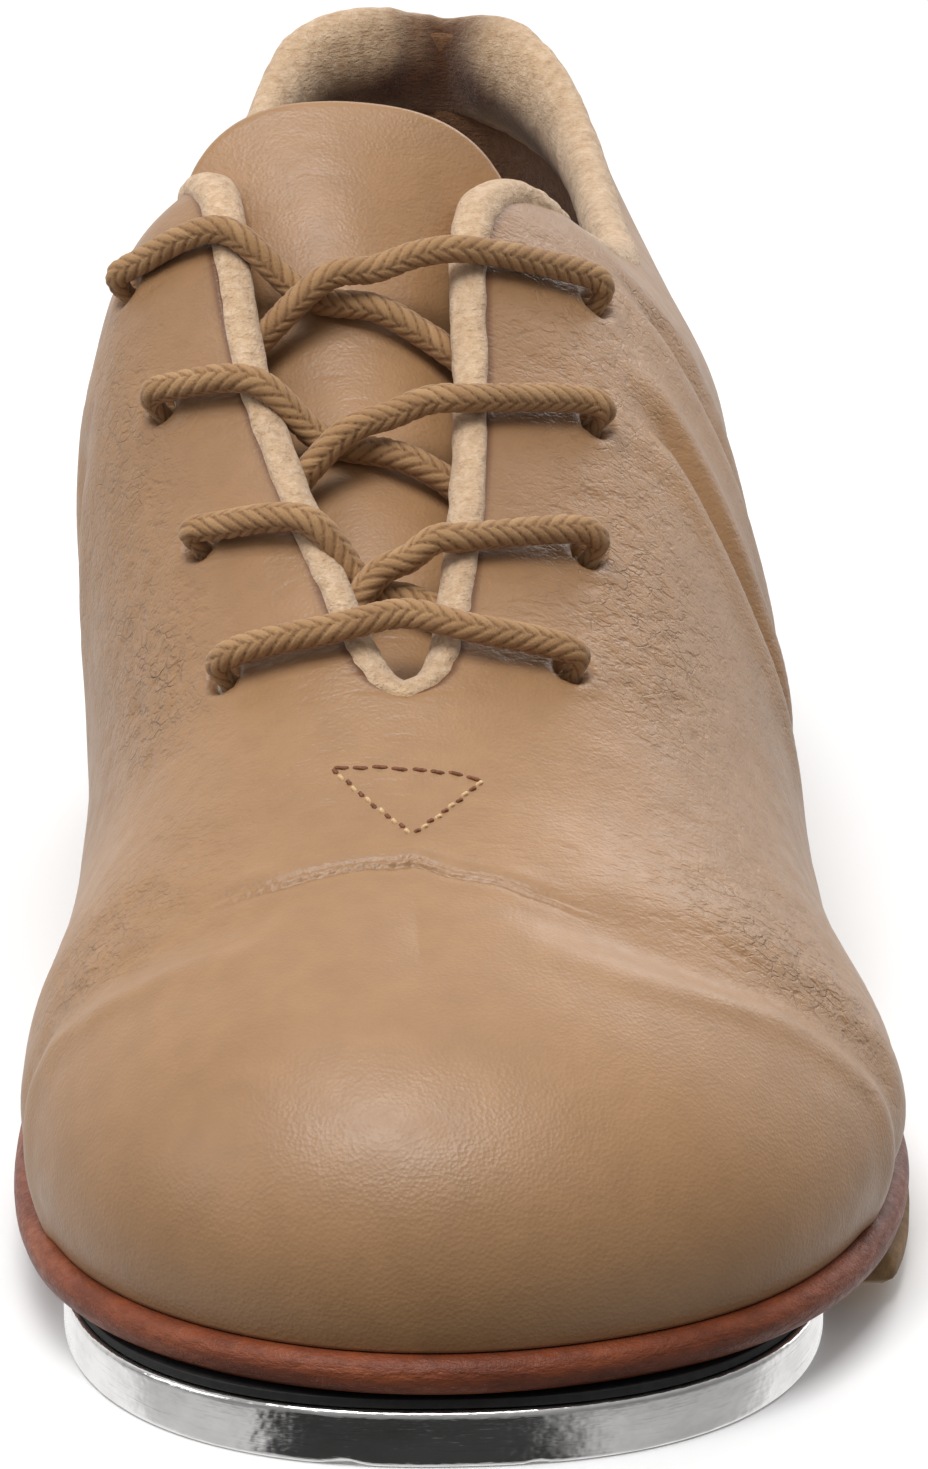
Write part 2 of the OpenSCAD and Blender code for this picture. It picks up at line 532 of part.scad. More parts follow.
arch_us = concat([for (i = [0:8]) -9.92 + i * 0.355], [for (i = [8:-1:0]) 9.92 - i * 0.355]);
module arch_gusset() {
    color("tan") sole_layer(arch_us, -0.2, -1.4, -0.05);
}
module arch_lining() {
    color("wheat") sole_layer(arch_us, -4, 0.1, 1);
}

// ---- Heel half ------------------------------------------------------------------------------------
module quarter_leather_medial() {
    color("tan") shell(quarter_us, quarter_fs, 0, leather_t);
}
module quarter_leather_lateral() {
    color("tan") shell(mirrored(quarter_us), quarter_fs, 0, leather_t);
}
module quarter_lining_medial() {
    color("wheat") shell(quarter_us, quarter_fs, lining_0, lining_1);
}
module quarter_lining_lateral() {
    color("wheat") shell(mirrored(quarter_us), quarter_fs, lining_0, lining_1);
}
module heel_counter() {
    color("gray") shell(counter_us, counter_fs, stiff_0, stiff_1);
}

// Padded collar roll: fleece cover around a foam core, following the topline round the heel.
collar_r = 3.1;
collar_cover_t = 0.8;
collar_path = [for (i = [0:34]) cut_skin(9.85 + i * (8.3 / 34), collar_f, collar_depth)];
module hollow_tube(pts, r, t, start_side, sides = 8) {
    fr = frames(pts, 0, start_side);
    n = len(pts);
    ring_pts = [
        for (s = [0, t]) for (i = [0:n - 1]) for (k = [0:sides - 1])
            pts[i] + (fr[i][0] * cos(360 * k / sides) + fr[i][1] * sin(360 * k / sides)) * (r - s)
    ];
    o = n * sides;
    walls = [
        for (i = [0:n - 2]) for (k = [0:sides - 1]) each let(
            a = i * sides + k, b = i * sides + (k + 1) % sides
        ) [
            [b + sides, b, a], [a + sides, b + sides, a],
            [o + b, o + b + sides, o + a], [o + b + sides, o + a + sides, o + a]
        ]
    ];
    ends = [
        for (k = [0:sides - 1]) each let(
            a = k, b = (k + 1) % sides, c = (n - 1) * sides + k, d = (n - 1) * sides + (k + 1) % sides
        ) [[b, o + b, a], [o + b, o + a, a], [o + d, d, c], [o + c, o + d, c]]
    ];
    polyhedron(points = ring_pts, faces = concat(walls, ends), convexity = 10);
}
module collar_cover() {
    color("wheat") hollow_tube(collar_path, collar_r, collar_cover_t, [0, 0, 1]);
}
module collar_foam() {
    r = collar_r - collar_cover_t - 0.15;
    color("lightyellow") tube(collar_path, r, r, [0, 0, 1]);
}

module heel_insole_board() {
    color("saddlebrown") sole_layer(rear_outline_us, -3.7, 0.15, 2.2);
}
module heel_sock() {
    color("wheat") sole_layer(rear_outline_us, -4, 2.3, 5);
}
lift_z0 = heel_tap_t + board_t + 0.2;
seat_z0 = lift_z0 + lift_count * (lift_t + gap);
seat_profile = [[0.4, 0], [1.2, 0.2], [1.5, 0.5], [1.2, 0.8], [0.4, 1]];
module heel_seat() {
    color("sienna") ring_body([
        for (p = seat_profile)
            [for (q = outline(rear_outline_us, p[0])) [q[0], q[1], seat_z0 + (sole_z(q[1]) - seat_z0) * p[1]]]
    ]);
}
module heel_lift(i, e) {
    color("peru") translate([0, 0, lift_z0 + i * (lift_t + gap)])
        linear_extrude(lift_t) polygon(outline(rear_outline_us, e));
}
module heel_lift_lower() {
    heel_lift(0, -0.6);
}
module heel_lift_middle() {
    heel_lift(1, -0.1);
}
module heel_lift_upper() {
    heel_lift(2, 0.4);
}
heel_screws = [[1, 112], [-15, 78], [17, 78]];
module heel_tap_board() {
    color("black") translate([0, 0, heel_tap_t + 0.08]) difference() {
        linear_extrude(board_t) polygon(outline(rear_outline_us, -1.4));
        for (p = heel_screws) translate([p[0] * kx, p[1] * ky, -1])
            cylinder(r = screw_shank_r + 0.2, h = board_t + 2);
    }
}
module heel_tap() {
    color("silver") difference() {
        union() {
            linear_extrude(0.8) polygon(outline(rear_outline_us, -1.7));
            translate([0, 0, 0.8]) linear_extrude(heel_tap_t - 0.8) polygon(outline(rear_outline_us, -0.8));
        }
        for (p = heel_screws) translate([p[0] * kx, 0, 0]) tap_hole([0, p[1]], heel_tap_t);
    }
}
module heel_tap_screws() {
    color("lightgray") for (p = heel_screws) translate([p[0] * kx, p[1] * ky, 0.15])
        tap_screw(heel_tap_t + board_t + lift_t * 1.5);
}
nail_spots = [[1, 104], [-14, 90], [16, 90], [1, 76]];
module heel_nails() {
    color("gray") for (p = nail_spots) {
        z = sole_z(p[1] * ky) + 2.2;
        translate([p[0] * kx, p[1] * ky, z - 14]) cylinder(r = 1, h = 13.8);
    }
}

vamp_leather();
vamp_lining();
toe_puff();
facing_stay_medial();
facing_stay_lateral();
throat_binding();
tongue_leather();
tongue_lining();
lace();
lace_tips();
vamp_stitching();
front_insole_board();
front_bottom_filler();
front_sock();
forefoot_outsole();
forefoot_grip_pad();
toe_tap_board();
toe_tap();
toe_tap_screws();
waist_leather_medial();
waist_leather_lateral();
waist_lining_medial();
waist_lining_lateral();
waist_collar_medial();
waist_collar_lateral();
arch_gusset();
arch_lining();
quarter_leather_medial();
quarter_leather_lateral();
quarter_lining_medial();
quarter_lining_lateral();
heel_counter();
collar_cover();
collar_foam();
heel_insole_board();
heel_sock();
heel_nails();
heel_seat();
heel_lift_upper();
heel_lift_middle();
heel_lift_lower();
heel_tap_board();
heel_tap();
heel_tap_screws();
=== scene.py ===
import math
import bmesh
import bpy
import numpy as np
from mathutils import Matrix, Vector


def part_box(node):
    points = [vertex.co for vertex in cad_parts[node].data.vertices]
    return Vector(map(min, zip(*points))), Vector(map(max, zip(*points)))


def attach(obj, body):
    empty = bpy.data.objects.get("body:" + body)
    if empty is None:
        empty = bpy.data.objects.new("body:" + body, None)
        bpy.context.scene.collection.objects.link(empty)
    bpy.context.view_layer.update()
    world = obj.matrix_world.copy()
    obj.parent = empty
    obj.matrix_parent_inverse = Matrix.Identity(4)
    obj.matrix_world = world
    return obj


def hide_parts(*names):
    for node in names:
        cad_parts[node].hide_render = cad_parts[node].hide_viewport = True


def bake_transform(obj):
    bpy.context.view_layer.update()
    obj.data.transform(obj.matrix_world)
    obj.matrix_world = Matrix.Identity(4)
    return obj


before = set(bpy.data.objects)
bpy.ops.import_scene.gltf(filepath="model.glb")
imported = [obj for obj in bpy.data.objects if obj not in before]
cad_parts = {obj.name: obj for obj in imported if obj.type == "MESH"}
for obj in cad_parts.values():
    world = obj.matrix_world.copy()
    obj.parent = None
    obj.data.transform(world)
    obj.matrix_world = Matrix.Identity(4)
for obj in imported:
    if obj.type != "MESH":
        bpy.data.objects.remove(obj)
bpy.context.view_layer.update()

MM = 0.001  # lengths below are in mm, places round the upper are in ribs; Blender works in metres


# ---------------------------------------------------------------- camera
cam_data = bpy.data.cameras.new("Camera")
camera = bpy.data.objects.new("Camera", cam_data)
bpy.context.scene.collection.objects.link(camera)
camera.location = (-0.0239, -0.690, 0.2785)
camera.rotation_euler = (math.radians(90 - 19.71), 0, math.radians(-2.29))
cam_data.sensor_width = 36
cam_data.lens = 157.1
cam_data.clip_start, cam_data.clip_end = 0.01, 20
bpy.context.scene.camera = camera


# ---------------------------------------------------------------- the shape of the upper
# One row per rib, in mm: feather-edge x and y, two shoulder points and the top point.
# Ribs 0 to 14 run from the toe along the inner side to the heel, 15 to 27 return outside.
RIBS = [
    [(-4, -124), (-4, -128, 26), (-4.5, -112, 38.5), (-4.5, -93, 41.2)],
    [(-25, -117), (-28, -121, 27), (-19, -106, 41), (-4.5, -88, 42.2)],
    [(-39, -101), (-43, -103, 27), (-26, -94, 43.5), (-4.5, -81, 43.6)],
    [(-43.8, -80), (-51, -81, 26), (-28.5, -75, 46.5), (-4.5, -72, 46)],
    [(-43.8, -57), (-48.5, -58, 28), (-29.5, -61, 53), (-4.5, -62.5, 50.2)],
    [(-41.7, -35), (-42, -38, 31), (-31.5, -48, 59), (-4.5, -52.5, 55.3)],
    [(-38.2, -14), (-40.5, -19, 36), (-39, -28, 70), (-6, -32, 67.5)],
    [(-33.5, 6), (-40.5, 2, 42), (-50.5, -8, 81), (-7.5, -10, 79.5)],
    [(-29, 26), (-38.5, 24, 46), (-51.5, 18, 93), (-9, 19, 100)],
    [(-27, 46), (-36.5, 46, 46), (-37.5, 38, 68), (-28, 36, 77)],
    [(-27, 66), (-32.5, 66, 46), (-33, 62, 62), (-25, 60, 74)],
    [(-27, 86), (-32, 86, 46), (-30, 83, 64), (-23, 82, 75)],
    [(-24, 104), (-28, 105, 46), (-24, 101, 66), (-19, 100, 79)],
    [(-15, 118), (-17, 122, 46), (-14, 115, 68), (-13, 113, 85.7)],
    [(1, 123.5), (1, 130.6, 46), (1, 119, 70), (2.5, 118.5, 85.4)],
    [(18, 118), (23.5, 122, 46), (16, 115, 68), (15.7, 113, 85.1)],
    [(26.5, 104), (33.5, 105, 46), (26, 101, 66), (22.5, 100, 79.4)],
    [(29, 86), (37.5, 86, 46), (32, 83, 64), (24.8, 82, 75)],
    [(28.5, 65), (41, 65, 46), (36, 61, 62), (25, 60, 74)],
    [(28.5, 44), (45, 44, 44), (37, 36, 66), (23, 36, 77)],
    [(31, 23), (49.5, 21, 42), (29.5, 19, 90), (-9, 19, 100)],
    [(36.5, 2), (50.5, -2, 38), (27, -8, 80), (-7.5, -10, 79.5)],
    [(41, -19), (47, -24, 32), (25.5, -29, 69), (-6, -32, 67.5)],
    [(43.8, -41), (46.5, -43, 26), (23.5, -49, 59), (-4.5, -52.5, 55.3)],
    [(46, -64), (55, -65, 23), (21, -63, 52), (-4.5, -62.5, 50.2)],
    [(43, -87), (52, -88, 25), (22, -79, 46.5), (-4.5, -72, 46)],
    [(34, -106), (38, -108, 26), (18.5, -96, 43.5), (-4.5, -81, 43.6)],
    [(19, -118.5), (22, -122.5, 27), (11, -107, 41), (-4.5, -88, 42.2)],
]
SOLE_RISE = np.array([2.8, 1.8, 1.1, 0.5, 0.1, 0.2, 1.5, 4, 7.4, 11, 14, 15.6, 16, 16, 16])
FRONT_STACK = 9.4
HALF_TURN = 14.0
HOLE_US = (5.2, 6.05, 6.9, 7.62)
HOLE_F = 0.835
THROAT_U = 4.86
THROAT = np.array([
    (4.86, 1), (4.93, 0.965), (5.04, 0.945), (5.28, 0.925), (5.56, 0.91), (6, 0.89), (7, 0.86),
    (7.6, 0.845), (8, 0.835), (8.2, 0.83), (8.4, 0.85), (8.6, 0.9), (8.8, 0.96), (9, 1)])


def b_weights(t):
    """Weights of the four control points of a uniform cubic B-spline at t from 0 to 1."""
    return np.stack([(1 - t) ** 3 / 6, (3 * t ** 3 - 6 * t ** 2 + 4) / 6,
                     (-3 * t ** 3 + 3 * t ** 2 + 3 * t + 1) / 6, t ** 3 / 6], -1)


def sole_z(y):
    """Upper face of the sole at y, in mm."""
    s = (np.asarray(y, float) + 140) / 20
    i = np.floor(s).astype(int)
    w = b_weights(s - i)
    n = len(SOLE_RISE)
    return FRONT_STACK + sum(w[..., k] * SOLE_RISE[np.clip(i - 1 + k, 0, n - 1)] for k in range(4))


rows = np.array([[(*r[0], float(sole_z(r[0][1])) + 0.2), *r[1:]] for r in RIBS], float)
KNOTS = rows * 8 / 6 - (np.roll(rows, 1, 0) + np.roll(rows, -1, 0)) / 6


def unit(p):
    """Rows scaled to length 1."""
    return p / np.maximum(np.linalg.norm(p, axis=-1, keepdims=True), 1e-12)


def rib(u):
    """Four control points of the upper's cross line at rib position u, closed round the shoe."""
    u = np.asarray(u, float)
    i = np.floor(u).astype(int)
    w = b_weights(u - i)
    return sum(w[..., k, None, None] * KNOTS[(i - 1 + k) % len(KNOTS)] for k in range(4))


def bezier(c, v):
    """Point at height share v on the cubic curve with control points c."""
    v = np.asarray(v, float)[..., None]
    return ((1 - v) ** 3 * c[..., 0, :] + 3 * (1 - v) ** 2 * v * c[..., 1, :]
            + 3 * (1 - v) * v * v * c[..., 2, :] + v ** 3 * c[..., 3, :])


def bezier_slope(c, v):
    """Direction of the same curve at v."""
    v = np.asarray(v, float)[..., None]
    return ((1 - v) ** 2 * (c[..., 1, :] - c[..., 0, :]) + 2 * (1 - v) * v * (c[..., 2, :] - c[..., 1, :])
            + v * v * (c[..., 3, :] - c[..., 2, :]))


def ridge_normal(au):
    """Upward normal of the line where the two sides meet over the toe."""
    r = rib(au + 0.1)[..., 3, :] - rib(np.maximum(0, au - 0.1))[..., 3, :]
    return unit(np.stack([0 * r[..., 0], -r[..., 2], r[..., 1]], -1))


def normal(u, v):
    """Outward normal of the upper; along the welded ridge over the toe it is taken from the ridge."""
    u, v = np.broadcast_arrays(np.asarray(u, float), np.asarray(v, float))
    n = unit(np.cross(bezier_slope(rib(u), v), bezier(rib(u + 0.02) - rib(u - 0.02), v)))
    au = np.abs(u)
    near = np.where(au <= THROAT_U, smooth(0.93, 1.0, v), 0)[..., None]
    return unit(n * (1 - near) + ridge_normal(au) * near)


def smooth(a, b, x):
    """0 up to a, 1 from b, with a soft rise between."""
    t = np.clip((np.asarray(x, float) - a) / (b - a), 0, 1)
    return t * t * (3 - 2 * t)


def hump(x, at, width, power=2):
    """Smooth bump of height 1 at x = at, fading over the width on both sides."""
    return np.exp(-((x - at) / width) ** power)


def share(u):
    """Height share v at which the leather is cut off: 1 over the toe, lower along throat and collar."""
    return np.interp(np.abs(u), THROAT[:, 0], THROAT[:, 1])


def drift(u, f):
    """Shift of the inner side's first and third lace holes across the facing."""
    tent = np.maximum(0, 1 - np.abs(f - HOLE_F) / 0.165)
    shift = 0.028 * hump(u, 6.9, 0.4) - 0.06 * hump(u, 5.2, 0.4)
    return np.where(np.asarray(u) > 0, tent * shift, 0)


def cut(u, f):
    """Height share v of the cut pattern's own share f."""
    return (f + drift(u, f)) * share(u)


def skin(u, v, depth=0.0):
    """Point of the upper at rib position u and height share v, depth mm under the surface."""
    return bezier(rib(u), v) - normal(u, v) * np.asarray(depth, float)[..., None]


HOLES = [skin(np.array(side * u), cut(np.array(side * u), HOLE_F)) for u in HOLE_US for side in (1, -1)]


def between(a, b, c, d, t):
    """Catmull-Rom curve from b (t = 0) to c (t = 1), with the neighbours a and d."""
    return 0.5 * (2 * b + (c - a) * t + (2 * a - 5 * b + 4 * c - d) * t ** 2
                  + (3 * b - a - 3 * c + d) * t ** 3)


def spline(points, steps):
    """Smooth curve through rows of numbers."""
    p = np.asarray(points, float)
    q = np.vstack([2 * p[0] - p[1], p, 2 * p[-1] - p[-2]])
    t = np.linspace(0, 1, steps, endpoint=False)[:, None]
    out = [between(*four, t) for four in zip(q, q[1:], q[2:], q[3:])]
    return np.vstack([*out, p[-1:]])


# ---------------------------------------------------------------- noise
LATTICE = np.random.default_rng(11).random((64, 64, 64))


def noise(p, size, octaves=1):
    """Smooth value noise from -1 to 1 at points p in mm, with features about size mm wide."""
    total, weight, amp = 0, 0, 1.0
    for k in range(octaves):
        q = np.asarray(p, float) / (size / 2 ** k) + 17.3 * k + 31.7
        i = np.floor(q).astype(int)
        f = q - i
        f = f * f * (3 - 2 * f)
        acc = 0
        for dx in (0, 1):
            for dy in (0, 1):
                for dz in (0, 1):
                    w = ((f[..., 0] if dx else 1 - f[..., 0]) * (f[..., 1] if dy else 1 - f[..., 1])
                         * (f[..., 2] if dz else 1 - f[..., 2]))
                    cell = tuple((i[..., j] + step) % 64 for j, step in enumerate((dx, dy, dz)))
                    acc = acc + w * LATTICE[cell]
        total = total + amp * (2 * acc - 1)
        weight += amp
        amp *= 0.5
    return total / weight


# ---------------------------------------------------------------- meshes
def keep_rest(mesh, verts_mm):
    """Rest place of the points in mm, which the materials are laid out by."""
    rest = mesh.attributes.new("rest_mm", "FLOAT_VECTOR", "POINT")
    rest.data.foreach_set("vector", np.asarray(verts_mm, np.float32).ravel())


def make_mesh(name, verts_mm, faces, material, attributes=None):
    """Mesh object from points in mm, with values on its points and one or more materials."""
    mesh = bpy.data.meshes.new(name)
    mesh.from_pydata((np.asarray(verts_mm, float) * MM).tolist(), [], [tuple(f) for f in faces])
    mesh.update()
    mesh.shade_smooth()
    keep_rest(mesh, verts_mm)
    for key, values in (attributes or {}).items():
        a = mesh.attributes.new(key, "FLOAT", "POINT")
        a.data.foreach_set("value", np.asarray(values, np.float32).ravel())
    ob = bpy.data.objects.new(name, mesh)
    bpy.context.scene.collection.objects.link(ob)
    for m in material if isinstance(material, (list, tuple)) else [material]:
        mesh.materials.append(m)
    return ob


def grid_faces(n, m, wrap_n=False, wrap_m=False, flip=False):
    """Quads of an n by m grid of points, open or joined round in either direction."""
    i, j = np.meshgrid(np.arange(n if wrap_n else n - 1), np.arange(m if wrap_m else m - 1), indexing="ij")
    i, j = i.ravel(), j.ravel()
    i2, j2 = (i + 1) % n, (j + 1) % m
    f = np.stack([i * m + j, i2 * m + j, i2 * m + j2, i * m + j2], 1)
    return f[:, ::-1] if flip else f


def rings_mesh(name, rings, material, closed=False, attributes=None):
    """Closed body from rings (n, m, 3): a tube, or a torus if closed. Open ends get a centre fan."""
    n, m, _ = rings.shape
    verts = rings.reshape(-1, 3)
    faces = grid_faces(n, m, closed, True).tolist()
    attributes = dict(attributes or {})
    if not closed:
        caps = np.stack([rings[0].mean(0), rings[-1].mean(0)])
        verts = np.vstack([verts, caps])
        a, b = n * m, n * m + 1
        for k in range(m):
            k2, last = (k + 1) % m, (n - 1) * m
            faces += [(a, k, k2), (b, last + k2, last + k)]
        for key in attributes:
            v = np.asarray(attributes[key], float).reshape(n, m)
            attributes[key] = np.concatenate([v.ravel(), [v[0].mean(), v[-1].mean()]])
    return make_mesh(name, verts, faces, material, attributes)


def fix_normals(ob, merge=False):
    """All faces turned outwards, after points on one spot are merged if asked."""
    bm = bmesh.new()
    bm.from_mesh(ob.data)
    if merge:
        bmesh.ops.remove_doubles(bm, verts=bm.verts, dist=1e-6)
    bmesh.ops.recalc_face_normals(bm, faces=bm.faces)
    bm.to_mesh(ob.data)
    bm.free()


def relax(q, times):
    """Closed row of points drawn together by moving averages."""
    for _ in range(times):
        q = (np.roll(q, 1, 0) + 2 * q + np.roll(q, -1, 0)) / 4
    return q


def angles(m):
    """m angles, evenly round a full turn."""
    return np.arange(m) / m * 2 * math.pi


def spokes(side, rise, th):
    """Unit vectors round each point of a path, at the angles th from its side to its rise."""
    return side[:, None] * np.cos(th)[None, :, None] + rise[:, None] * np.sin(th)[None, :, None]


def thicken(ob, thickness):
    """Thickness in mm given to a skin, inwards."""
    solid = ob.modifiers.new("thickness", "SOLIDIFY")
    solid.thickness = thickness * MM
    solid.offset = -1


def path_frames(p, start):
    """Tangent, side and up at each point of a path, carried along without twist."""
    t = unit(np.gradient(p, axis=0))
    s = np.zeros_like(p)
    prev = np.asarray(start, float)
    for i in range(len(p)):
        prev = unit(prev - t[i] * (prev @ t[i]))
        s[i] = prev
    return t, s, np.cross(t, s)


def resample(p, step):
    """Points about step mm apart along a polyline."""
    d = np.concatenate([[0], np.cumsum(np.linalg.norm(np.diff(p, axis=0), axis=1))])
    n = max(2, int(round(d[-1] / step)))
    q = np.linspace(0, d[-1], n + 1)
    return np.stack([np.interp(q, d, p[:, k]) for k in range(p.shape[1])], 1)


# ---------------------------------------------------------------- materials
def feed(tree, socket, value):
    """Link an output into the socket, or set the socket's value."""
    if isinstance(value, bpy.types.NodeSocket):
        tree.links.new(value, socket)
    else:
        socket.default_value = value


def math_node(tree, op, a, b=0.0):
    """Output of one arithmetic step."""
    n = tree.nodes.new("ShaderNodeMath")
    n.operation = op
    feed(tree, n.inputs[0], a)
    feed(tree, n.inputs[1], b)
    return n.outputs[0]


def range_node(tree, value, *limits, soft=False):
    """Output that follows the value from limits 0 and 1 into limits 2 and 3, with soft ends if asked."""
    n = tree.nodes.new("ShaderNodeMapRange")
    if soft:
        n.interpolation_type = "SMOOTHSTEP"
    feed(tree, n.inputs["Value"], value)
    for key, limit in zip(("From Min", "From Max", "To Min", "To Max"), limits):
        n.inputs[key].default_value = limit
    return n.outputs[0]


class Nodes:
    """A few words for building a procedural material."""

    def __init__(self, name):
        self.mat = bpy.data.materials.new(name)
        self.mat.use_nodes = True
        self.tree = self.mat.node_tree
        self.bsdf = self.tree.nodes["Principled BSDF"]
        coord = self.tree.nodes.new("ShaderNodeAttribute")
        coord.attribute_name = "rest_mm"
        self.rest = coord.outputs["Vector"]

    def node(self, kind, **inputs):
        """New node: set_x sets property x, i0 feeds input 0, other keys feed the input so named."""
        n = self.tree.nodes.new("ShaderNode" + kind)
        for key, value in inputs.items():
            if key.startswith("set_"):
                setattr(n, key[4:], value)
                continue
            s = n.inputs[int(key[1:]) if key[0] == "i" and key[1:].isdigit() else key.replace("_", " ")]
            self.feed(s, value)
        return n

    def feed(self, socket, value):
        """Link an output into the socket, or set the socket's value."""
        feed(self.tree, socket, value)

    def scaled(self, sx, sy=None, sz=None):
        """Rest place in mm times a factor along each axis."""
        v = self.node("VectorMath", set_operation="MULTIPLY", i0=self.rest,
                      i1=(sx, sx if sy is None else sy, sx if sz is None else sz))
        return v.outputs[0]

    def noise(self, size, detail=3, rough=0.55, stretch=(1, 1, 1)):
        """Noise with features about size mm wide."""
        spot = self.scaled(*(k / size for k in stretch))
        return self.node("TexNoise", Vector=spot, Scale=1.0, Detail=detail,
                         Roughness=rough).outputs["Fac"]

    def voronoi(self, size, feature="F1", stretch=(1, 1, 1)):
        """Distance pattern of cells about size mm wide."""
        spot = self.scaled(*(k / size for k in stretch))
        return self.node("TexVoronoi", set_feature=feature, Vector=spot, Scale=1.0).outputs["Distance"]

    def toned(self, colour, factor):
        """Colour times a grey factor."""
        grey = self.node("CombineColor", Red=factor, Green=factor, Blue=factor).outputs[0]
        return self.mix(1.0, colour, grey, "MULTIPLY")

    def attr(self, name):
        """Value stored on the mesh points."""
        n = self.tree.nodes.new("ShaderNodeAttribute")
        n.attribute_name = name
        return n.outputs["Fac"]

    def math(self, op, a, b=0.0):
        """One arithmetic step."""
        return math_node(self.tree, op, a, b)

    def ramp(self, fac, *stops):
        """Colour ramp with stops (place, colour)."""
        n = self.tree.nodes.new("ShaderNodeValToRGB")
        e = n.color_ramp.elements
        while len(e) < len(stops):
            e.new(0.5)
        for item, (pos, col) in zip(e, stops):
            item.position = pos
            item.color = col if len(col) == 4 else (*col, 1)
        self.feed(n.inputs[0], fac)
        return n.outputs[0]

    def span(self, fac, lo0, hi0, lo, hi):
        """Value moved from the range lo0 to hi0 into lo to hi."""
        return range_node(self.tree, fac, lo0, hi0, lo, hi)

    def mix(self, fac, a, b, blend="MIX"):
        """Colour b over colour a by the factor."""
        n = self.tree.nodes.new("ShaderNodeMix")
        n.data_type = "RGBA"
        n.blend_type = blend
        self.feed(n.inputs[0], fac)
        self.feed(n.inputs[6], a if isinstance(a, bpy.types.NodeSocket) else (*a[:3], 1))
        self.feed(n.inputs[7], b if isinstance(b, bpy.types.NodeSocket) else (*b[:3], 1))
        return n.outputs[2]

    def bump(self, *layers):
        """Relief in the surface from layers (height socket, distance in mm)."""
        last = None
        for height, depth in layers:
            n = self.tree.nodes.new("ShaderNodeBump")
            n.inputs["Strength"].default_value = 1
            n.inputs["Distance"].default_value = depth * MM
            self.feed(n.inputs["Height"], height)
            if last:
                self.tree.links.new(last, n.inputs["Normal"])
            last = n.outputs[0]
        self.tree.links.new(last, self.bsdf.inputs["Normal"])

    def done(self, **shader):
        """Finished material, with these inputs of its shader fed."""
        for key, value in shader.items():
            self.feed(self.bsdf.inputs[key.replace("_", " ")], value)
        return self.mat


def srgb(r, g, b):
    """Linear colour from 8-bit screen values."""
    return tuple((c / 255 / 12.92) if c <= 10 else ((c / 255 + 0.055) / 1.055) ** 2.4 for c in (r, g, b))


def leather_material():
    """Tan upper leather: pores everywhere, crackle and short dashes where it is slack, their furrows
    darkened as painted shade.
    """
    m = Nodes("tan_upper_leather")
    grainy = m.attr("grain")
    tone = m.ramp(m.noise(30, 3), (0.3, srgb(151, 114, 78)), (0.5, srgb(157, 119, 82)),
                  (0.72, srgb(163, 124, 86)))
    tone = m.toned(tone, m.span(m.noise(3.5, 4), 0.3, 0.7, 0.95, 1.05))
    # fine pores everywhere; short dashes of wrinkle where the leather is slack, their furrows and cracks
    # darkened as painted shade
    pores = m.voronoi(0.42, "F1")
    dash = m.span(m.noise(1.5, 2, 0.5, (0.30, 0.9, 1.2)), 0.55, 0.72, 1.0, 0.0)
    small = m.span(m.noise(0.7, 2, 0.5, (0.35, 0.9, 1.2)), 0.52, 0.70, 1.0, 0.0)
    both = m.math("MULTIPLY", dash, m.math("ADD", m.math("MULTIPLY", small, 0.4), 0.6))
    straight = m.scaled(0.30, 0.62, 0.62)
    bend = m.node("TexNoise", Vector=m.scaled(0.45), Scale=1.0, Detail=3).outputs["Color"]
    bent = m.node("VectorMath", set_operation="ADD", i0=straight, i1=bend).outputs[0]
    cells = m.node("TexVoronoi", set_feature="DISTANCE_TO_EDGE", Vector=bent,
                   Scale=1.0).outputs["Distance"]
    broken = m.span(m.noise(2.6, 2), 0.42, 0.58, 0.0, 1.0)
    crack = m.math("MULTIPLY", m.math("MULTIPLY", m.span(cells, 0.0, 0.09, 1.0, 0.0), broken), grainy)
    both = m.math("MULTIPLY", both, m.math("SUBTRACT", 1.0, m.math("MULTIPLY", crack, 0.9)))
    # painted shade in the wrinkle furrows and cracks
    dark = m.math("MULTIPLY", m.math("SUBTRACT", 1.0, both), m.math("MULTIPLY", grainy, 0.20))
    tone = m.mix(dark, tone, srgb(112, 74, 46))
    # darker band at the cut edge: the edge's own red-brown, deepened as painted shade next to the rolled
    # binding
    tone = m.mix(m.attr("cut_edge"), tone, srgb(104, 66, 40))
    # painted shade from the mesh: darker in the crease, round the lace holes and over the facings
    tone = m.mix(m.attr("grime"), tone, srgb(82, 50, 30))
    m.bump((pores, 0.035), (m.math("MULTIPLY", both, grainy), 0.20),
           (m.math("MULTIPLY", m.noise(0.8, 4, 0.65), m.span(grainy, 0.0, 1.0, 0.35, 1.0)), 0.08),
           (m.noise(0.28, 2), 0.014))
    rough = m.span(m.noise(3, 3), 0.3, 0.7, 0.37, 0.47)
    return m.done(Base_Color=tone, Roughness=rough, Sheen_Weight=0.02, Sheen_Roughness=0.4,
                  Specular_IOR_Level=0.5)


def fleece_material(name="cream_fleece", tones=((190, 153, 116), (212, 179, 143), (232, 204, 172))):
    """Clipped fleece with tufts, darkened as painted shade by the mesh's painted-shade values."""
    m = Nodes(name)
    tuft = m.noise(1.3, 5, 0.7)
    tone = m.ramp(tuft, (0.3, srgb(*tones[0])), (0.5, srgb(*tones[1])), (0.75, srgb(*tones[2])))
    tone = m.toned(tone, m.span(m.noise(14, 2), 0.3, 0.7, 0.93, 1.05))
    # painted shade: darker where the mesh marks shade
    tone = m.mix(m.attr("grime"), tone, srgb(92, 56, 32))
    m.bump((tuft, 0.45), (m.noise(0.45, 4, 0.7), 0.3), (m.noise(0.9, 3, 0.6, (0.4, 1.0, 2.2)), 0.25))
    return m.done(Base_Color=tone, Roughness=0.95, Sheen_Weight=0.35, Sheen_Roughness=0.5,
                  Specular_IOR_Level=0.12)


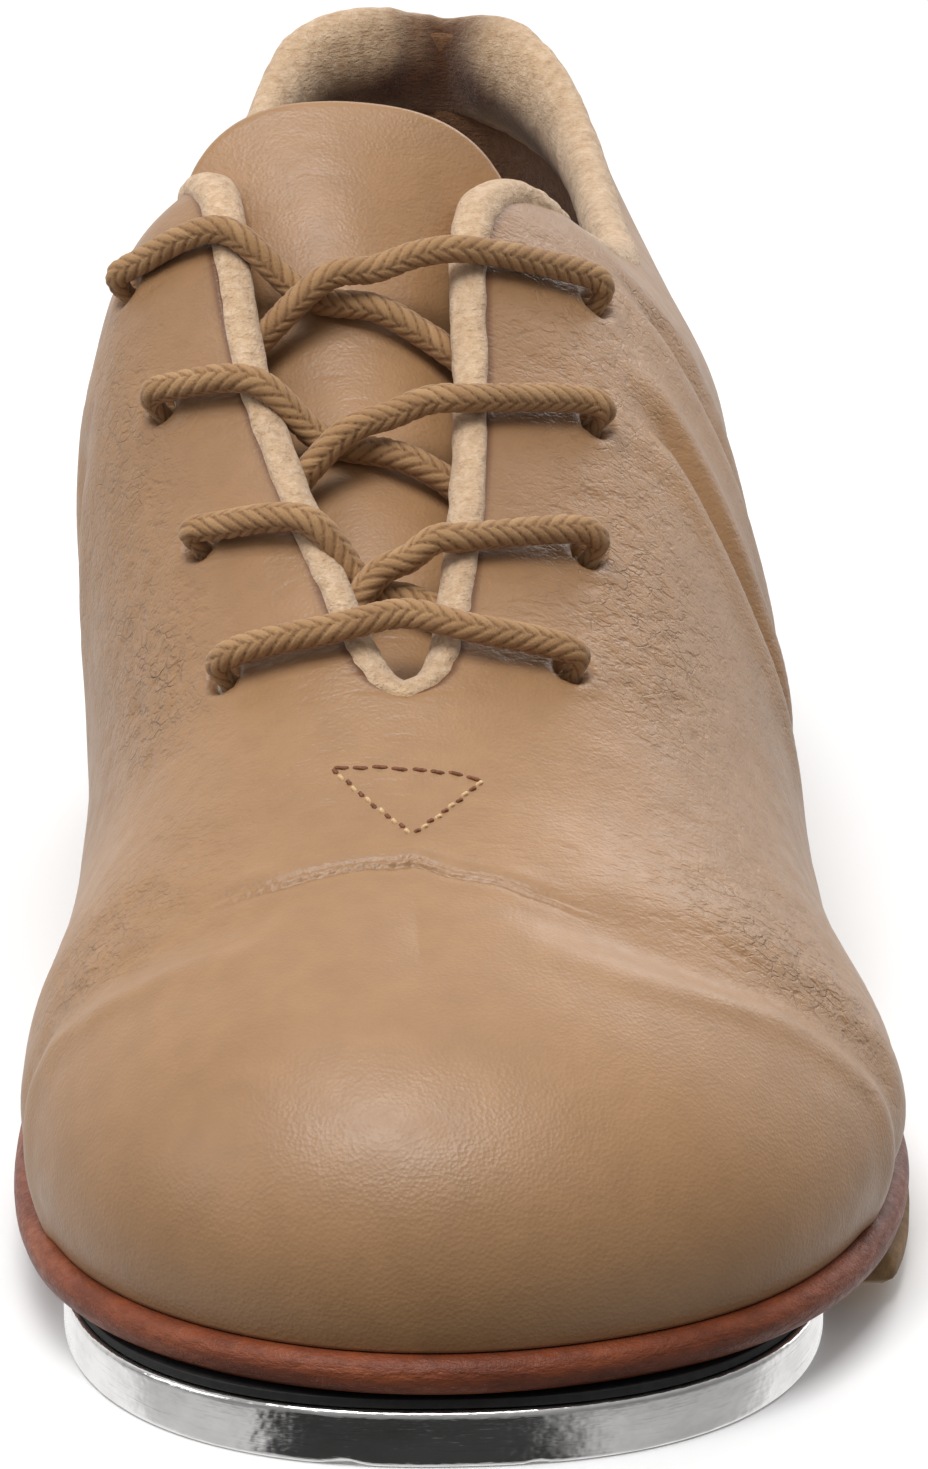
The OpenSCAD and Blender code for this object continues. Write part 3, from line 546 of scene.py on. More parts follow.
def lace_material():
    """Cotton braid: strands of slightly different tone, darkened in the furrows between them as painted
    shade.
    """
    m = Nodes("braided_cotton")
    depth = m.attr("depth")
    tone = m.ramp(m.attr("strand"), (0.0, srgb(160, 122, 84)), (0.5, srgb(168, 130, 90)),
                  (1.0, srgb(178, 140, 99)))
    fibre = m.noise(0.3, 4, 0.7)
    tone = m.mix(m.span(fibre, 0.4, 0.7, 0.0, 0.25), tone, srgb(198, 162, 120))
    # painted shade in the furrows, where the strands are low
    tone = m.mix(m.span(depth, 0.2, 0.8, 0.9, 0.0), tone, srgb(98, 62, 36))
    m.bump((fibre, 0.12), (m.noise(0.14, 2), 0.06))
    return m.done(Base_Color=tone, Roughness=0.8, Sheen_Weight=0.2, Sheen_Roughness=0.45,
                  Specular_IOR_Level=0.2)


def sole_edge_material(name="sole_edge_leather", tones=((100, 48, 25), (130, 66, 38), (158, 88, 52)),
                       layered=False):
    """Red-brown sole leather, fibrous; layered adds the lines of a stacked heel."""
    m = Nodes(name)
    t = m.noise(9, 4, 0.6, (0.5, 0.5, 2.0))
    tone = m.ramp(t, (0.3, srgb(*tones[0])), (0.5, srgb(*tones[1])), (0.75, srgb(*tones[2])))
    fine = m.noise(0.9, 4, 0.65, (0.5, 0.5, 1.6))
    tone = m.mix(m.span(fine, 0.35, 0.7, 0.0, 0.45), tone, srgb(62, 28, 16))
    layers = [(fine, 0.26), (m.noise(0.35, 3), 0.08)]
    if layered:
        line = m.noise(1.0, 3, 0.7, (0.06, 0.06, 1.3))
        tone = m.mix(m.span(line, 0.4, 0.62, 0.0, 0.5), tone, srgb(58, 30, 19))
        layers.append((line, 0.08))
    m.bump(*layers)
    return m.done(Base_Color=tone, Roughness=m.span(fine, 0.3, 0.7, 0.36, 0.56), Specular_IOR_Level=0.32)


def metal_material():
    """Rubbed aluminium: long streaks along the walking direction and soft dents."""
    m = Nodes("rubbed_aluminium")
    streak = m.noise(0.8, 4, 0.7, (0.08, 0.08, 2.4))
    smear = m.noise(7, 4, 0.65, (0.6, 0.6, 1.2))
    tone = m.ramp(smear, (0.35, srgb(214, 213, 211)), (0.6, srgb(236, 236, 235)))
    tone = m.mix(m.span(streak, 0.58, 0.72, 0.0, 0.35), tone, srgb(120, 117, 114))
    m.bump((streak, 0.035), (smear, 0.22), (m.noise(2.5, 2), 0.09))
    return m.done(Base_Color=tone, Metallic=1.0, Roughness=m.span(streak, 0.3, 0.75, 0.07, 0.20))


def plain_material(name, a, b, rough=0.6, metallic=0.0, size=4.0, bump=0.05):
    """Two-tone mottled surface for the simple and the hidden pieces."""
    m = Nodes(name)
    t = m.noise(size, 4, 0.6)
    tone = m.ramp(t, (0.35, srgb(*a)), (0.65, srgb(*b)))
    m.bump((m.noise(size / 6, 3), bump))
    return m.done(Base_Color=tone, Roughness=rough, Metallic=metallic)


LEATHER = leather_material()
FLEECE = fleece_material()
# the lining and insole sock take the fleece darkened to brown: a shaded copy of it, painted shade for the
# inside of the shoe
LINING_SHADE_DARKENED = fleece_material("brushed_lining_shade_darkened", ((112, 74, 46), (132, 92, 60), (150, 110, 76)))
TONGUE_FLEECE = fleece_material("tongue_fleece")
LACE = lace_material()
SOLE = sole_edge_material()
LIFT = sole_edge_material("stacked_leather", ((86, 48, 30), (112, 66, 42), (138, 86, 58)), True)
METAL = metal_material()
SCREW = plain_material("plated_steel", (150, 148, 142), (186, 184, 178), 0.3, 1.0, 1.5, 0.01)
BOARD = plain_material("black_fibre_board", (14, 13, 13), (30, 28, 27), 0.7, 0, 1.2, 0.05)
GRIP = plain_material("grip_pad", (122, 92, 60), (150, 118, 80), 0.8, 0, 2.0, 0.08)
TIP = plain_material("lace_tip_film", (92, 60, 36), (120, 82, 50), 0.25, 0, 3.0, 0.02)
THREAD_DARK = plain_material("thread_brown", (92, 52, 28), (140, 86, 50), 0.6, 0, 0.3, 0.03)
# cream thread on every other stitch of the triangle's sides: a painted highlight on the brown thread
THREAD_HIGHLIGHT = plain_material("thread_painted_highlight", (198, 160, 112), (228, 196, 152), 0.6, 0, 0.3, 0.03)
STIFF = plain_material("stiffener_sheet", (150, 140, 122), (172, 160, 140), 0.7)
CORK = plain_material("cork", (140, 100, 62), (178, 136, 92), 0.9, 0, 1.5, 0.2)
INSOLE = plain_material("leather_board", (128, 88, 56), (150, 108, 72), 0.8)
FOAM = plain_material("foam", (216, 206, 170), (232, 222, 190), 0.95, 0, 0.8, 0.2)


# ---------------------------------------------------------------- leather upper
def puff_edge_u(side_in, v):
    """Rib position of the toe puff's rear edge at height v; side_in is true on the inner side."""
    inner = np.interp(v, [0, 0.075, 0.165, 0.255, 0.335, 0.465, 0.58, 0.70, 0.85, 1],
                      [2.6, 2.76, 2.88, 2.98, 2.98, 2.76, 2.52, 2.28, 2.05, 1.95])
    outer = np.interp(v, [0, 0.10, 0.175, 0.26, 0.365, 0.475, 0.59, 0.675, 0.785, 0.9, 1],
                      [2.9, 2.98, 3.0, 3.02, 2.88, 2.70, 2.38, 2.18, 1.98, 1.95, 1.95])
    return np.where(side_in, inner, outer)


def crease_u(side_in, v):
    """Rib position of the pinched crease behind the toe puff."""
    inner = np.interp(v, [0.3, 0.385, 0.465, 0.555, 0.665, 0.74, 0.795, 0.853, 0.92, 0.988, 1],
                      [3.5, 3.48, 3.42, 3.30, 2.88, 2.80, 2.74, 2.69, 2.62, 2.45, 2.43])
    outer = np.interp(v, [0.2, 0.29, 0.395, 0.50, 0.615, 0.743, 0.79, 0.84, 0.89, 0.95, 1],
                      [3.25, 3.25, 3.2, 3.05, 2.86, 2.60, 2.51, 2.49, 2.50, 2.43, 2.43])
    return np.where(side_in, inner, outer)


def dashes(p, size, stretch=(0.3, 0.9, 1.2)):
    """Short separate furrows, 0 to 1, long across the shoe."""
    return smooth(0.10, 0.55, noise(p * stretch, size, 2))


# folds as (rib u, height v) of the upper end, the same of the lower end, depth and width in mm
WAIST_FOLDS = (((-7.2, 0.60), (-6.5, 0.28), 1.5, 2.6), ((-8.1, 0.62), (-7.6, 0.25), 1.2, 3.0),
               ((7.3, 0.50), (6.7, 0.22), 0.9, 3.2))
# patches as (side, u, v, half length in ribs, half height, strength)
WRINKLE_PATCHES = (
    (1, 5.35, 0.56, 0.55, 0.14, 1.0), (1, 3.6, 0.62, 0.7, 0.25, 0.5), (-1, 6.9, 0.70, 1.1, 0.14, 0.6),
    (-1, 4.3, 0.45, 0.9, 0.2, 0.5), (-1, 3.3, 0.45, 0.5, 0.25, 0.75), (1, 7.2, 0.66, 1.2, 0.12, 0.5),
    (-1, 5.6, 0.66, 0.6, 0.14, 0.7), (-1, 8.3, 0.66, 0.6, 0.12, 0.5), (1, 3.2, 0.42, 0.5, 0.2, 0.6),
    (1, 6.2, 0.48, 0.7, 0.16, 0.4))


def upper_relief(u, v, p):
    """Height of creases, puff edge, wrinkles and hole dimples over the smooth upper, in mm."""
    au, inner = np.abs(u), u > 0
    per_u = np.maximum(7, np.linalg.norm(bezier(rib(u + 0.02) - rib(u - 0.02), v), axis=-1) / 0.04)
    wob = noise(p, 6.0, 2)
    # where the two sides meet over the toe, their shallow valley is filled to a soft round
    top = np.stack([rib(au), rib(-au)])
    arm = top[..., 2, :] - top[..., 3, :]
    rise = (arm * ridge_normal(au)).sum(-1) / np.linalg.norm(arm, axis=-1)
    reach = 3 * (1 - v) * np.linalg.norm(np.where(inner[..., None], arm[0], arm[1]), axis=-1)
    d = rise.mean(0) * np.maximum(0, 9 - reach) ** 2 / 18 * (au <= THROAT_U) * smooth(0.7, 2.0, au)
    # toe puff: a soft lip, then a valley behind it
    s = (au - puff_edge_u(inner, v)) * per_u + 0.8 * wob
    low = 1 - smooth(0.66, 0.93, v)
    d += low * (0.50 * hump(s, -1.6, 2.9) - 0.95 * hump(s, 4.4, 4.2))
    # pinched crease across the instep side of the puff: two fine furrows, a soft fold behind
    s = (au - crease_u(inner, v)) * per_u + 0.30 * wob + 0.22 * noise(p, 1.9)
    high = np.where(inner, smooth(0.64, 0.80, v), smooth(0.74, 0.84, v)) * (0.85 + 0.3 * noise(p, 7.0))
    d += high * (-0.30 * hump(s, -0.55, 0.32) - 0.26 * hump(s, 0.70, 0.32)
                 + 0.26 * hump(s, 0.05, 0.42) + 0.24 * hump(s, 2.4, 1.2)
                 + 0.16 * hump(s, -1.9, 1.2))
    d += high * 0.11 * np.sin(p[..., 0] * 4.2 - 2.6 * s + 3.0 * wob) * hump(s, 0, 0.9)
    side = (1 - high) * smooth(0.12, 0.3, v)
    d += side * (-0.30 * hump(s, 0, 3.4) + 0.16 * hump(s, 6.0, 3.4))
    # slack leather behind the puff
    slack = smooth(2.6, 4.2, au) * (1 - smooth(9.6, 10.8, au))
    d += slack * (0.50 * noise(p, 19, 2) + 0.05 * noise(p * (0.5, 1, 1), 4.0, 2))
    d -= wrinkled(u, v) * (0.22 * dashes(p, 3.4) + 0.17 * dashes(p + 40, 1.9))
    # long diagonal folds at the waist
    for (u0, v0), (u1, v1), depth, width in WAIST_FOLDS:
        t = np.clip((v - v0) / (v1 - v0), 0, 1)
        off = (u - (u0 + (u1 - u0) * t)) * per_u
        ends = smooth(v1 - 0.1, v1 + 0.08, v) * (1 - smooth(v0 - 0.05, v0 + 0.12, v))
        d += ends * depth * (-hump(off, 0, width)
                             + 0.6 * hump(off, 2.0 * width, 1.3 * width)
                             + 0.6 * hump(off, -2.0 * width, 1.3 * width))
    # dimple and tension lines at each punched hole
    for centre in HOLES:
        r = np.linalg.norm(p - centre, axis=-1)
        d += -2.6 * hump(r, 0, 1.75, 4) + 0.25 * hump(r, 3.0, 1.2)
    return d


def wrinkled(u, v):
    """Where the leather is finely wrinkled, 0 to 1."""
    au, w = np.abs(u), 0
    for side, pu, pv, du, dv, k in WRINKLE_PATCHES:
        w = w + k * np.exp(-((au - pu) / du) ** 2 - ((v - pv) / dv) ** 2) * (np.sign(u) == side)
    return np.clip(w, 0, 1)


def upper_us(front_step, rear_step):
    """Rib positions of the mesh rows: closer at the crease and at the throat's end."""
    near = THROAT_U + np.array([0.012, 0.03, 0.055, 0.085, 0.12])
    front = np.concatenate([np.arange(0, 2.25, front_step), np.arange(2.25, 3.1, front_step / 2),
                            np.linspace(3.1, THROAT_U, int(1.9 / front_step) + 1), near,
                            np.arange(THROAT_U + 0.155, 9.2, front_step)])
    rear = np.linspace(9.2, HALF_TURN, int((HALF_TURN - 9.2) / rear_step) + 1)
    half = np.concatenate([front, rear])
    return np.concatenate([-half[::-1], half[1:]])


def shell_mesh(name, us, fs, depth_fn, material, attr_fn=None):
    """The upper's surface as one skin, its ridge over the toe and its back closed."""
    n, m = len(us), len(fs)
    u, f = np.meshgrid(us, fs, indexing="ij")
    v = cut(u, f)
    p = skin(u, v)
    p = p - normal(u, v) * depth_fn(u, v, p)[..., None]
    ids = np.arange(n * m).reshape(n, m)
    ridge = np.abs(us) <= THROAT_U + 1e-9
    mirror = ids[::-1]
    ids[:, -1] = np.where(ridge & (us < 0), mirror[:, -1], ids[:, -1])
    ids[-1] = ids[0]
    faces = np.stack([ids[:-1, :-1], ids[:-1, 1:], ids[1:, 1:], ids[1:, :-1]], -1).reshape(-1, 4)
    used, new = np.unique(faces, return_inverse=True)
    faces = new.reshape(-1, 4)
    attrs = {k: a.reshape(-1)[used] for k, a in (attr_fn(u, v, f, p) if attr_fn else {}).items()}
    return make_mesh(name, p.reshape(-1, 3)[used], faces.tolist(), material, attrs)


def leather_attrs(u, v, f, p):
    """Where the leather is wrinkled (grain), where its cut edge is darker (cut_edge: its own red-brown,
    deepened as painted shade), and painted shade (grime) in the crease, round the lace holes and over the
    facings.
    """
    au, inner = np.abs(u), u > 0
    behind = smooth(-0.1, 0.7, au - puff_edge_u(inner, v))
    grain = behind * (0.10 + 0.25 * np.clip(noise(p, 16, 2) + 0.3, 0, 1)) + 0.9 * wrinkled(u, v)
    grain = grain * (1 - 0.6 * smooth(9.2, 10.5, au))
    # cut edge band: its own red-brown, partly painted shade beside the binding
    edge = smooth(0.982, 0.996, f) * (au > THROAT_U + 0.02)
    # painted shade: dark lines in the crease's furrows and round each lace hole
    s = (au - crease_u(inner, v)) * 9.5 + 0.30 * noise(p, 6.0, 2) + 0.22 * noise(p, 1.9)
    line = np.where(inner, smooth(0.64, 0.80, v), smooth(0.74, 0.84, v)) * (
        0.12 * hump(s, -0.55, 0.3) + 0.10 * hump(s, 0.7, 0.3))
    for centre in HOLES:
        line = line + hump(np.linalg.norm(p - centre, axis=-1), 0, 1.9, 4)
    # painted shade over the facings beside the lace holes, where they turn away from the light
    facing_shade = 0.13 * smooth(5.0, 5.7, au) * (1 - smooth(8.0, 8.8, au)) * smooth(0.62, 0.82, v)
    return {"grain": np.clip(grain, 0, 1.2), "cut_edge": edge, "grime": np.clip(line + facing_shade, 0, 1)}


LEATHER_T, LINING_T, LINING_UNDER = 1.1, 0.8, 2.35
fine = 0.034
us = upper_us(fine, 0.085)
fs = np.concatenate([np.linspace(0, 0.985, 136), [0.993, 1.0]])
upper = shell_mesh("upper_leather_skin", us, fs, lambda u, v, p: -upper_relief(u, v, p), LEATHER,
                   leather_attrs)
thicken(upper, LEATHER_T)
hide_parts("vamp_leather", "waist_leather_medial", "waist_leather_lateral",
            "quarter_leather_medial", "quarter_leather_lateral")
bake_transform(upper)


# ---------------------------------------------------------------- lining
def lining_depth(u, v, p):
    """Depth of the lining's face under the leather's, loose in the rear half."""
    au = np.abs(u)
    folds = smooth(9.5, 11, au) * 0.5 * noise(p * (1, 1, 0.45), 9, 2)
    return LINING_UNDER + folds + 0.12 * noise(p, 2.2, 2)


lining = shell_mesh("upper_lining_skin", upper_us(0.2, 0.16), np.linspace(0, 1, 60), lining_depth, LINING_SHADE_DARKENED)
thicken(lining, LINING_T)
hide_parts("vamp_lining", "waist_lining_medial", "waist_lining_lateral",
            "quarter_lining_medial", "quarter_lining_lateral")
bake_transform(lining)


# ---------------------------------------------------------------- rolled edge and padded collar
def section(points):
    """Closed smooth outline through (out, up) points, 28 round."""
    p = np.array(points, float)
    n = len(p)
    t = np.arange(28) / 28 * n
    i = np.floor(t).astype(int)
    f = (t - i)[:, None]
    return between(*(p[(i + k) % n] for k in (-1, 0, 1, 2)), f)


ROLL = section([(1.9, 0.2), (1.8, 1.6), (0.4, 3.0), (-1.3, 2.8), (-2.2, 1.4), (-2.0, 0), (-0.8, -0.5),
                (0.9, -0.7)])
COLLAR = section([(0.9, -2.0), (1.4, 0.3), (0.9, 2.2), (-0.9, 3.0), (-2.9, 2.2), (-4.3, 0.0), (-4.9, -3.2),
                  (-4.4, -7.0), (-2.8, -10.5), (-1.6, -11.5), (-1.2, -8.0), (-0.6, -4.6)])
BACK_SEAM_U = 14.25
half_u = [THROAT_U, 4.93, 5.06, 5.28, 5.6, 6.05, 6.5, 6.9, 7.3, 7.7, 8.0, 8.15, 8.3, 8.45, 8.6, 8.8, 9.0,
          9.3, 9.7, *np.arange(10.1, 13.9, 0.4), 14.0]
edge_u = np.array([*half_u, *(-np.array(half_u[-2:0:-1]))])
edge_u = np.concatenate([edge_u[-3:], edge_u, edge_u[:4]])
# the cut edge of the upper, once round: points, directions out of the shoe, rib positions
centre = skin(edge_u, share(edge_u), 1.5)
out = normal(edge_u, np.minimum(share(edge_u), 0.995))
dense = spline(np.hstack([centre, out, np.abs(edge_u)[:, None]]), 9)[27:-36]
centre, out, where = dense[:, :3], unit(dense[:, 3:6]), dense[:, 6]
centre = relax(centre, 3)
for _ in range(3):
    out = unit(np.roll(out, 1, 0) + 2 * out + np.roll(out, -1, 0))
along = unit(np.roll(centre, -1, 0) - np.roll(centre, 1, 0))
up = unit(np.cross(along, out))
out = unit(np.cross(up, along))
# rolled edge in front, padded collar behind, drawn in at the back seam
big = smooth(8.5, 9.9, where)[:, None, None]
side_u = np.where(centre[:, 0] > 1.5, 28 - where, where)
seam = hump(side_u, BACK_SEAM_U, 0.36)[:, None, None]
corner = hump(where, 8.05, 0.45)[:, None, None]
prof = ROLL[None] * (1 - big) + (COLLAR[None] + [0.5, 0]) * big
prof = prof * (1 + 0.35 * corner)
prof = prof * (1 - seam * [0.62, 0.15]) - seam * [0.0, 1.1]
rings = centre[:, None] + out[:, None] * prof[..., 0:1] + up[:, None] * prof[..., 1:2]
# uneven filling and tufts
swell = 0.6 * noise(rings * (1, 1, 0.7), 15, 2) * big[..., 0]
swell = swell + 0.22 * noise(rings, 1.7, 2) + 0.16 * noise(rings, 0.8)
push = unit(rings - rings.mean(1, keepdims=True))
rings = rings + push * swell[..., None]
# painted shade: the collar's inner face deep in the shoe and the valley at the back seam are darkened
inside = smooth(-1.5, -4.2, prof[..., 0]) * smooth(-1.0, -7.0, prof[..., 1]) * big[..., 0]
back_seam_shade = hump(side_u, BACK_SEAM_U, 0.5)[:, None] * smooth(1.0, -1.5, prof[..., 0])
roll = rings_mesh("fleece_edge_and_collar", rings, FLEECE, closed=True,
                  attributes={"grime": np.clip(0.85 * inside + 1.0 * back_seam_shade, 0, 1)})
fix_normals(roll)
sub = roll.modifiers.new("smooth", "SUBSURF")
sub.levels = sub.render_levels = 1
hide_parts("throat_binding", "waist_collar_medial", "waist_collar_lateral", "collar_cover")
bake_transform(roll)
# foam core inside the padded part
core_rows = np.where(where > 10.3)[0]
gap_at = np.argmax(np.diff(core_rows)) if (np.diff(core_rows) > 1).any() else -1
core_rows = np.concatenate([core_rows[gap_at + 1:], core_rows[:gap_at + 1]])
core = rings[core_rows]
core = core.mean(1, keepdims=True) + (core - core.mean(1, keepdims=True)) * 0.55
foam = rings_mesh("collar_foam_core", core, FOAM)
fix_normals(foam)
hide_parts("collar_foam")
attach(foam, "heel")


# ---------------------------------------------------------------- tongue
TONGUE = np.array([
    (-62, 45, -4.5, 15, 5.5), (-54, 49, -4.5, 17, 7.5), (-46, 52.6, -5, 19, 11.5),
    (-37, 57.2, -5.5, 20.5, 15), (-28, 62.8, -6, 21.5, 16), (-18, 68.5, -7, 22, 16.5),
    (-9, 74, -8, 22, 17.5), (-1, 79.2, -8.5, 21.5, 18), (7, 85, -8.7, 20.5, 17),
    (13, 90.2, -8.5, 20, 14.5), (18, 94.4, -8.2, 19.5, 10.5), (21.5, 97.2, -7.9, 19.1, 7.5),
    (24.2, 99.4, -7.7, 18.8, 5.2)])


def tongue_points(depth, n=100, m=80, trim=0.0):
    """Tongue surface; its free end has rounded corners and leans a little towards the inner side."""
    r = resample(spline(TONGUE, 12), 0.6)
    t = np.sin(np.linspace(-math.pi / 2, math.pi / 2, m)) * 0.25 + np.linspace(-1, 1, m) * 0.75
    t = t * (1 - trim)
    end = 1 - 0.10 * (1 - np.maximum(0, 1 - np.abs(t) ** 3.4) ** (1 / 2.4)) - 0.4 * trim
    s = np.linspace(0, 1, n) ** 0.8
    k = s[:, None] * end[None] * (len(r) - 1)
    row = np.stack([np.interp(k, np.arange(len(r)), r[:, i]) for i in range(5)], -1)
    lean = 0.2 * smooth(0.6, 1.0, s)[:, None]
    drop = row[..., 4] * (t + lean) ** 2 / (1 + lean)
    p = np.stack([row[..., 2] + t * row[..., 3], row[..., 0], row[..., 1] - drop], -1)
    nrm = unit(np.cross(np.gradient(p, axis=1), np.gradient(p, axis=0)))
    nrm = np.where(nrm[..., 2:] < 0, -nrm, nrm)
    lift = 0.30 * noise(p, 16, 2) - 0.05 * dashes(p, 2.4)
    return p + nrm * (lift[..., None] - depth)


def sheet_body(name, top, bottom, material, attributes=None):
    """Closed sheet between two grids, its rim rounded by two middle loops."""
    n, m, _ = top.shape
    rim = [(i, 0) for i in range(n)] + [(n - 1, j) for j in range(1, m)] \
        + [(i, m - 1) for i in range(n - 2, -1, -1)] + [(0, j) for j in range(m - 2, 0, -1)]
    ri, rj = np.array(rim).T
    t_rim, b_rim = top[ri, rj], bottom[ri, rj]
    mid = (t_rim + b_rim) / 2
    away = unit(np.roll(mid, -1, 0) - np.roll(mid, 1, 0))
    away = unit(np.cross(away, t_rim - b_rim))
    if ((mid - mid.mean(0)) * away).sum() < 0:
        away = -away
    bulge = np.linalg.norm(t_rim - b_rim, axis=1, keepdims=True) * 0.35
    l1, l2 = t_rim * 0.75 + b_rim * 0.25 + away * bulge, t_rim * 0.25 + b_rim * 0.75 + away * bulge
    verts = np.vstack([top.reshape(-1, 3), bottom.reshape(-1, 3), l1, l2])
    k = len(rim)
    base = n * m
    loops = [ri * m + rj, 2 * base + np.arange(k), 2 * base + k + np.arange(k), base + ri * m + rj]
    faces = np.vstack([grid_faces(n, m), grid_faces(n, m, flip=True) + base]
                      + [np.stack([a, b, np.roll(b, -1), np.roll(a, -1)], 1)
                         for a, b in zip(loops, loops[1:])])
    attrs = {key: np.concatenate([val.ravel(), val.ravel(), np.zeros(2 * k)])
             for key, val in (attributes or {}).items()}
    ob = make_mesh(name, verts, faces.tolist(), material, attrs)
    fix_normals(ob)
    return ob


top = tongue_points(0.0)
none = np.zeros(top.shape[:2])
tongue = sheet_body("tongue_leather_skin", top, tongue_points(1.2), LEATHER,
                    {"grain": none + 0.16, "cut_edge": none, "grime": none})
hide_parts("tongue_leather")
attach(tongue, "forefoot")
back = sheet_body("tongue_fleece_back", tongue_points(1.3, trim=0.03), tongue_points(2.1, trim=0.03),
                  TONGUE_FLEECE)
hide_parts("tongue_lining")
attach(back, "forefoot")


# ---------------------------------------------------------------- lace
LACE_D = 3.2
ROUTE = [
    (37.25, -45.5, 22.75), (32.75, -23.75, 34.25), (27.75, -3, 50.5), (20.75, 9.75, 66.5),
    (16.5, 11, 77), (19, 9.5, 79), (19.75, 9, 81.5), (17.25, 8, 83.5), (5, 1.5, 88), (-1, 0.5, 88),
    (-6.25, -0.5, 86.5), (-12.25, -1.5, 85.5), (-21, -2.5, 77), (-26, -3.5, 72.75),
    (-28, -6.75, 71), (-30.25, -8.75, 72.75), (-31.25, -10, 74.75), (-29.5, -11.25, 76.25),
    (-20, -15, 78), (-12.5, -16, 71.5), (-5, -18.5, 70.5), (-1, -19.5, 69), (3.5, -20.5, 66),
    (11, -24, 60.5), (14.75, -26.5, 59.5), (16.25, -28.5, 61.5), (17, -29.5, 64), (14, -30.5, 65.5),
    (2.25, -36, 66.5), (-0.75, -36.5, 66.5), (-3.75, -37, 64.5), (-7, -37.5, 63),
    (-11.25, -38.5, 58), (-18.75, -40, 52.25), (-21.5, -42, 51.5), (-23.25, -44, 53.25),
    (-24.25, -45, 55.75), (-20.75, -46.25, 58), (-11.75, -48, 60.5), (-4.5, -46.5, 61.5),
    (2.5, -48.5, 60.5), (10, -47.5, 58.5), (13.75, -47, 57), (13.5, -46, 54.5), (12, -44, 52),
    (9.25, -41.5, 52), (1.5, -38.5, 57), (-0.75, -38, 59), (-3.75, -37, 60), (-8.5, -35.5, 61),
    (-14.5, -34, 68), (-24.5, -29.5, 66), (-27, -28.5, 65), (-25.75, -27, 62.5), (-24.25, -25, 61),
    (-21.75, -22.5, 61.75), (-16.75, -21, 66.5), (-10.25, -20.5, 73.5), (-5, -18.5, 75),
    (-0.75, -18, 76.5), (4.25, -17.5, 76.5), (15.5, -11.5, 74.5), (18.75, -10.5, 73),
    (17.75, -9, 70.5), (15.75, -7.5, 68), (12.25, -4.25, 70), (4, -3, 76), (-1, -1.5, 79.25),
    (-6.25, -0.5, 82), (-14, 1.5, 83), (-23.25, 4, 90), (-33, 8, 85), (-35, 9, 83),
    (-33.5, 10, 80.5), (-30.5, 11, 79.25), (-31, 10.25, 70.75), (-32.5, -1.5, 55.75),
    (-31.5, -19.75, 38), (-34.25, -41, 25.25)]
TIPS = [((37.4, -46.5, 22.2), (38.6, -59.5, 17.6)), ((-34.4, -42.2, 24.8), (-35.3, -55, 19.8))]


def braid(path, d, sides, step):
    """Round braid: four columns of short strands leaning by turns, thinner in the lace holes."""
    p = resample(path, step)
    _, s, w = path_frames(p, (0, 0, 1))
    dist = np.arange(len(p))[:, None] * step
    th = angles(sides)
    column = 4 * th[None] / (2 * math.pi) + 0.15 * noise(p, 9)[:, None]
    x = column - np.floor(column)
    lean = np.where(np.floor(column).astype(int) % 2 == 0, 1.0, -1.0)
    phase = dist / 1.7 + lean * (x - 0.5) * 1.5 + 0.25 * lean
    f = phase - np.floor(phase)
    strand = np.sqrt(np.clip(1 - (2 * f - 1) ** 2, 0, 1)) ** 0.8
    h = strand * (0.66 + 0.34 * (1 - np.abs(2 * x - 1) ** 2.5)) + 0.16 * np.cos(6 * math.pi * f) * strand
    near = np.min(np.linalg.norm(p[:, None] - np.array(HOLES)[None], axis=-1), axis=1)[:, None]
    r = d / 2 * (0.84 + 0.17 * h + 0.03 * noise(p, 5)[:, None]) * (1 - 0.36 * hump(near, 0, 2.1))
    rings = p[:, None] + spokes(s, w, th) * r[..., None]
    tone = np.sin(np.floor(phase) * 12.9898 + np.floor(column) * 4.1) * 43758.5
    return p, rings, {"depth": h, "strand": tone - np.floor(tone)}


lace_line = spline(ROUTE, 10)
sides, step = ((48, 0.16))
lace_path, rings, attrs = braid(lace_line, LACE_D, sides, step)
lace = rings_mesh("lace_braid", rings, LACE, attributes=attrs)
fix_normals(lace)
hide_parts("lace")
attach(lace, "forefoot")
for k, (a, b) in enumerate(TIPS):
    a, b = np.array(a, float), np.array(b, float)
    t = np.linspace(0, 1, 26)
    seams = np.abs((t * 8) % 1 - 0.5) < 0.1
    r = 1.5 * (1 - 0.35 * smooth(0.86, 1, t)) * (1 - 0.5 * (t == 1)) + 0.05 * seams
    line = a + (b - a) * t[:, None]
    _, s, w = path_frames(line, (0, 0, 1))
    rings = line[:, None] + spokes(s, w, angles(20)) * r[:, None, None]
    tip = rings_mesh(f"lace_tip_{'ab'[k]}", rings, TIP)
    fix_normals(tip)
    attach(tip, "forefoot")
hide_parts("lace_tips")


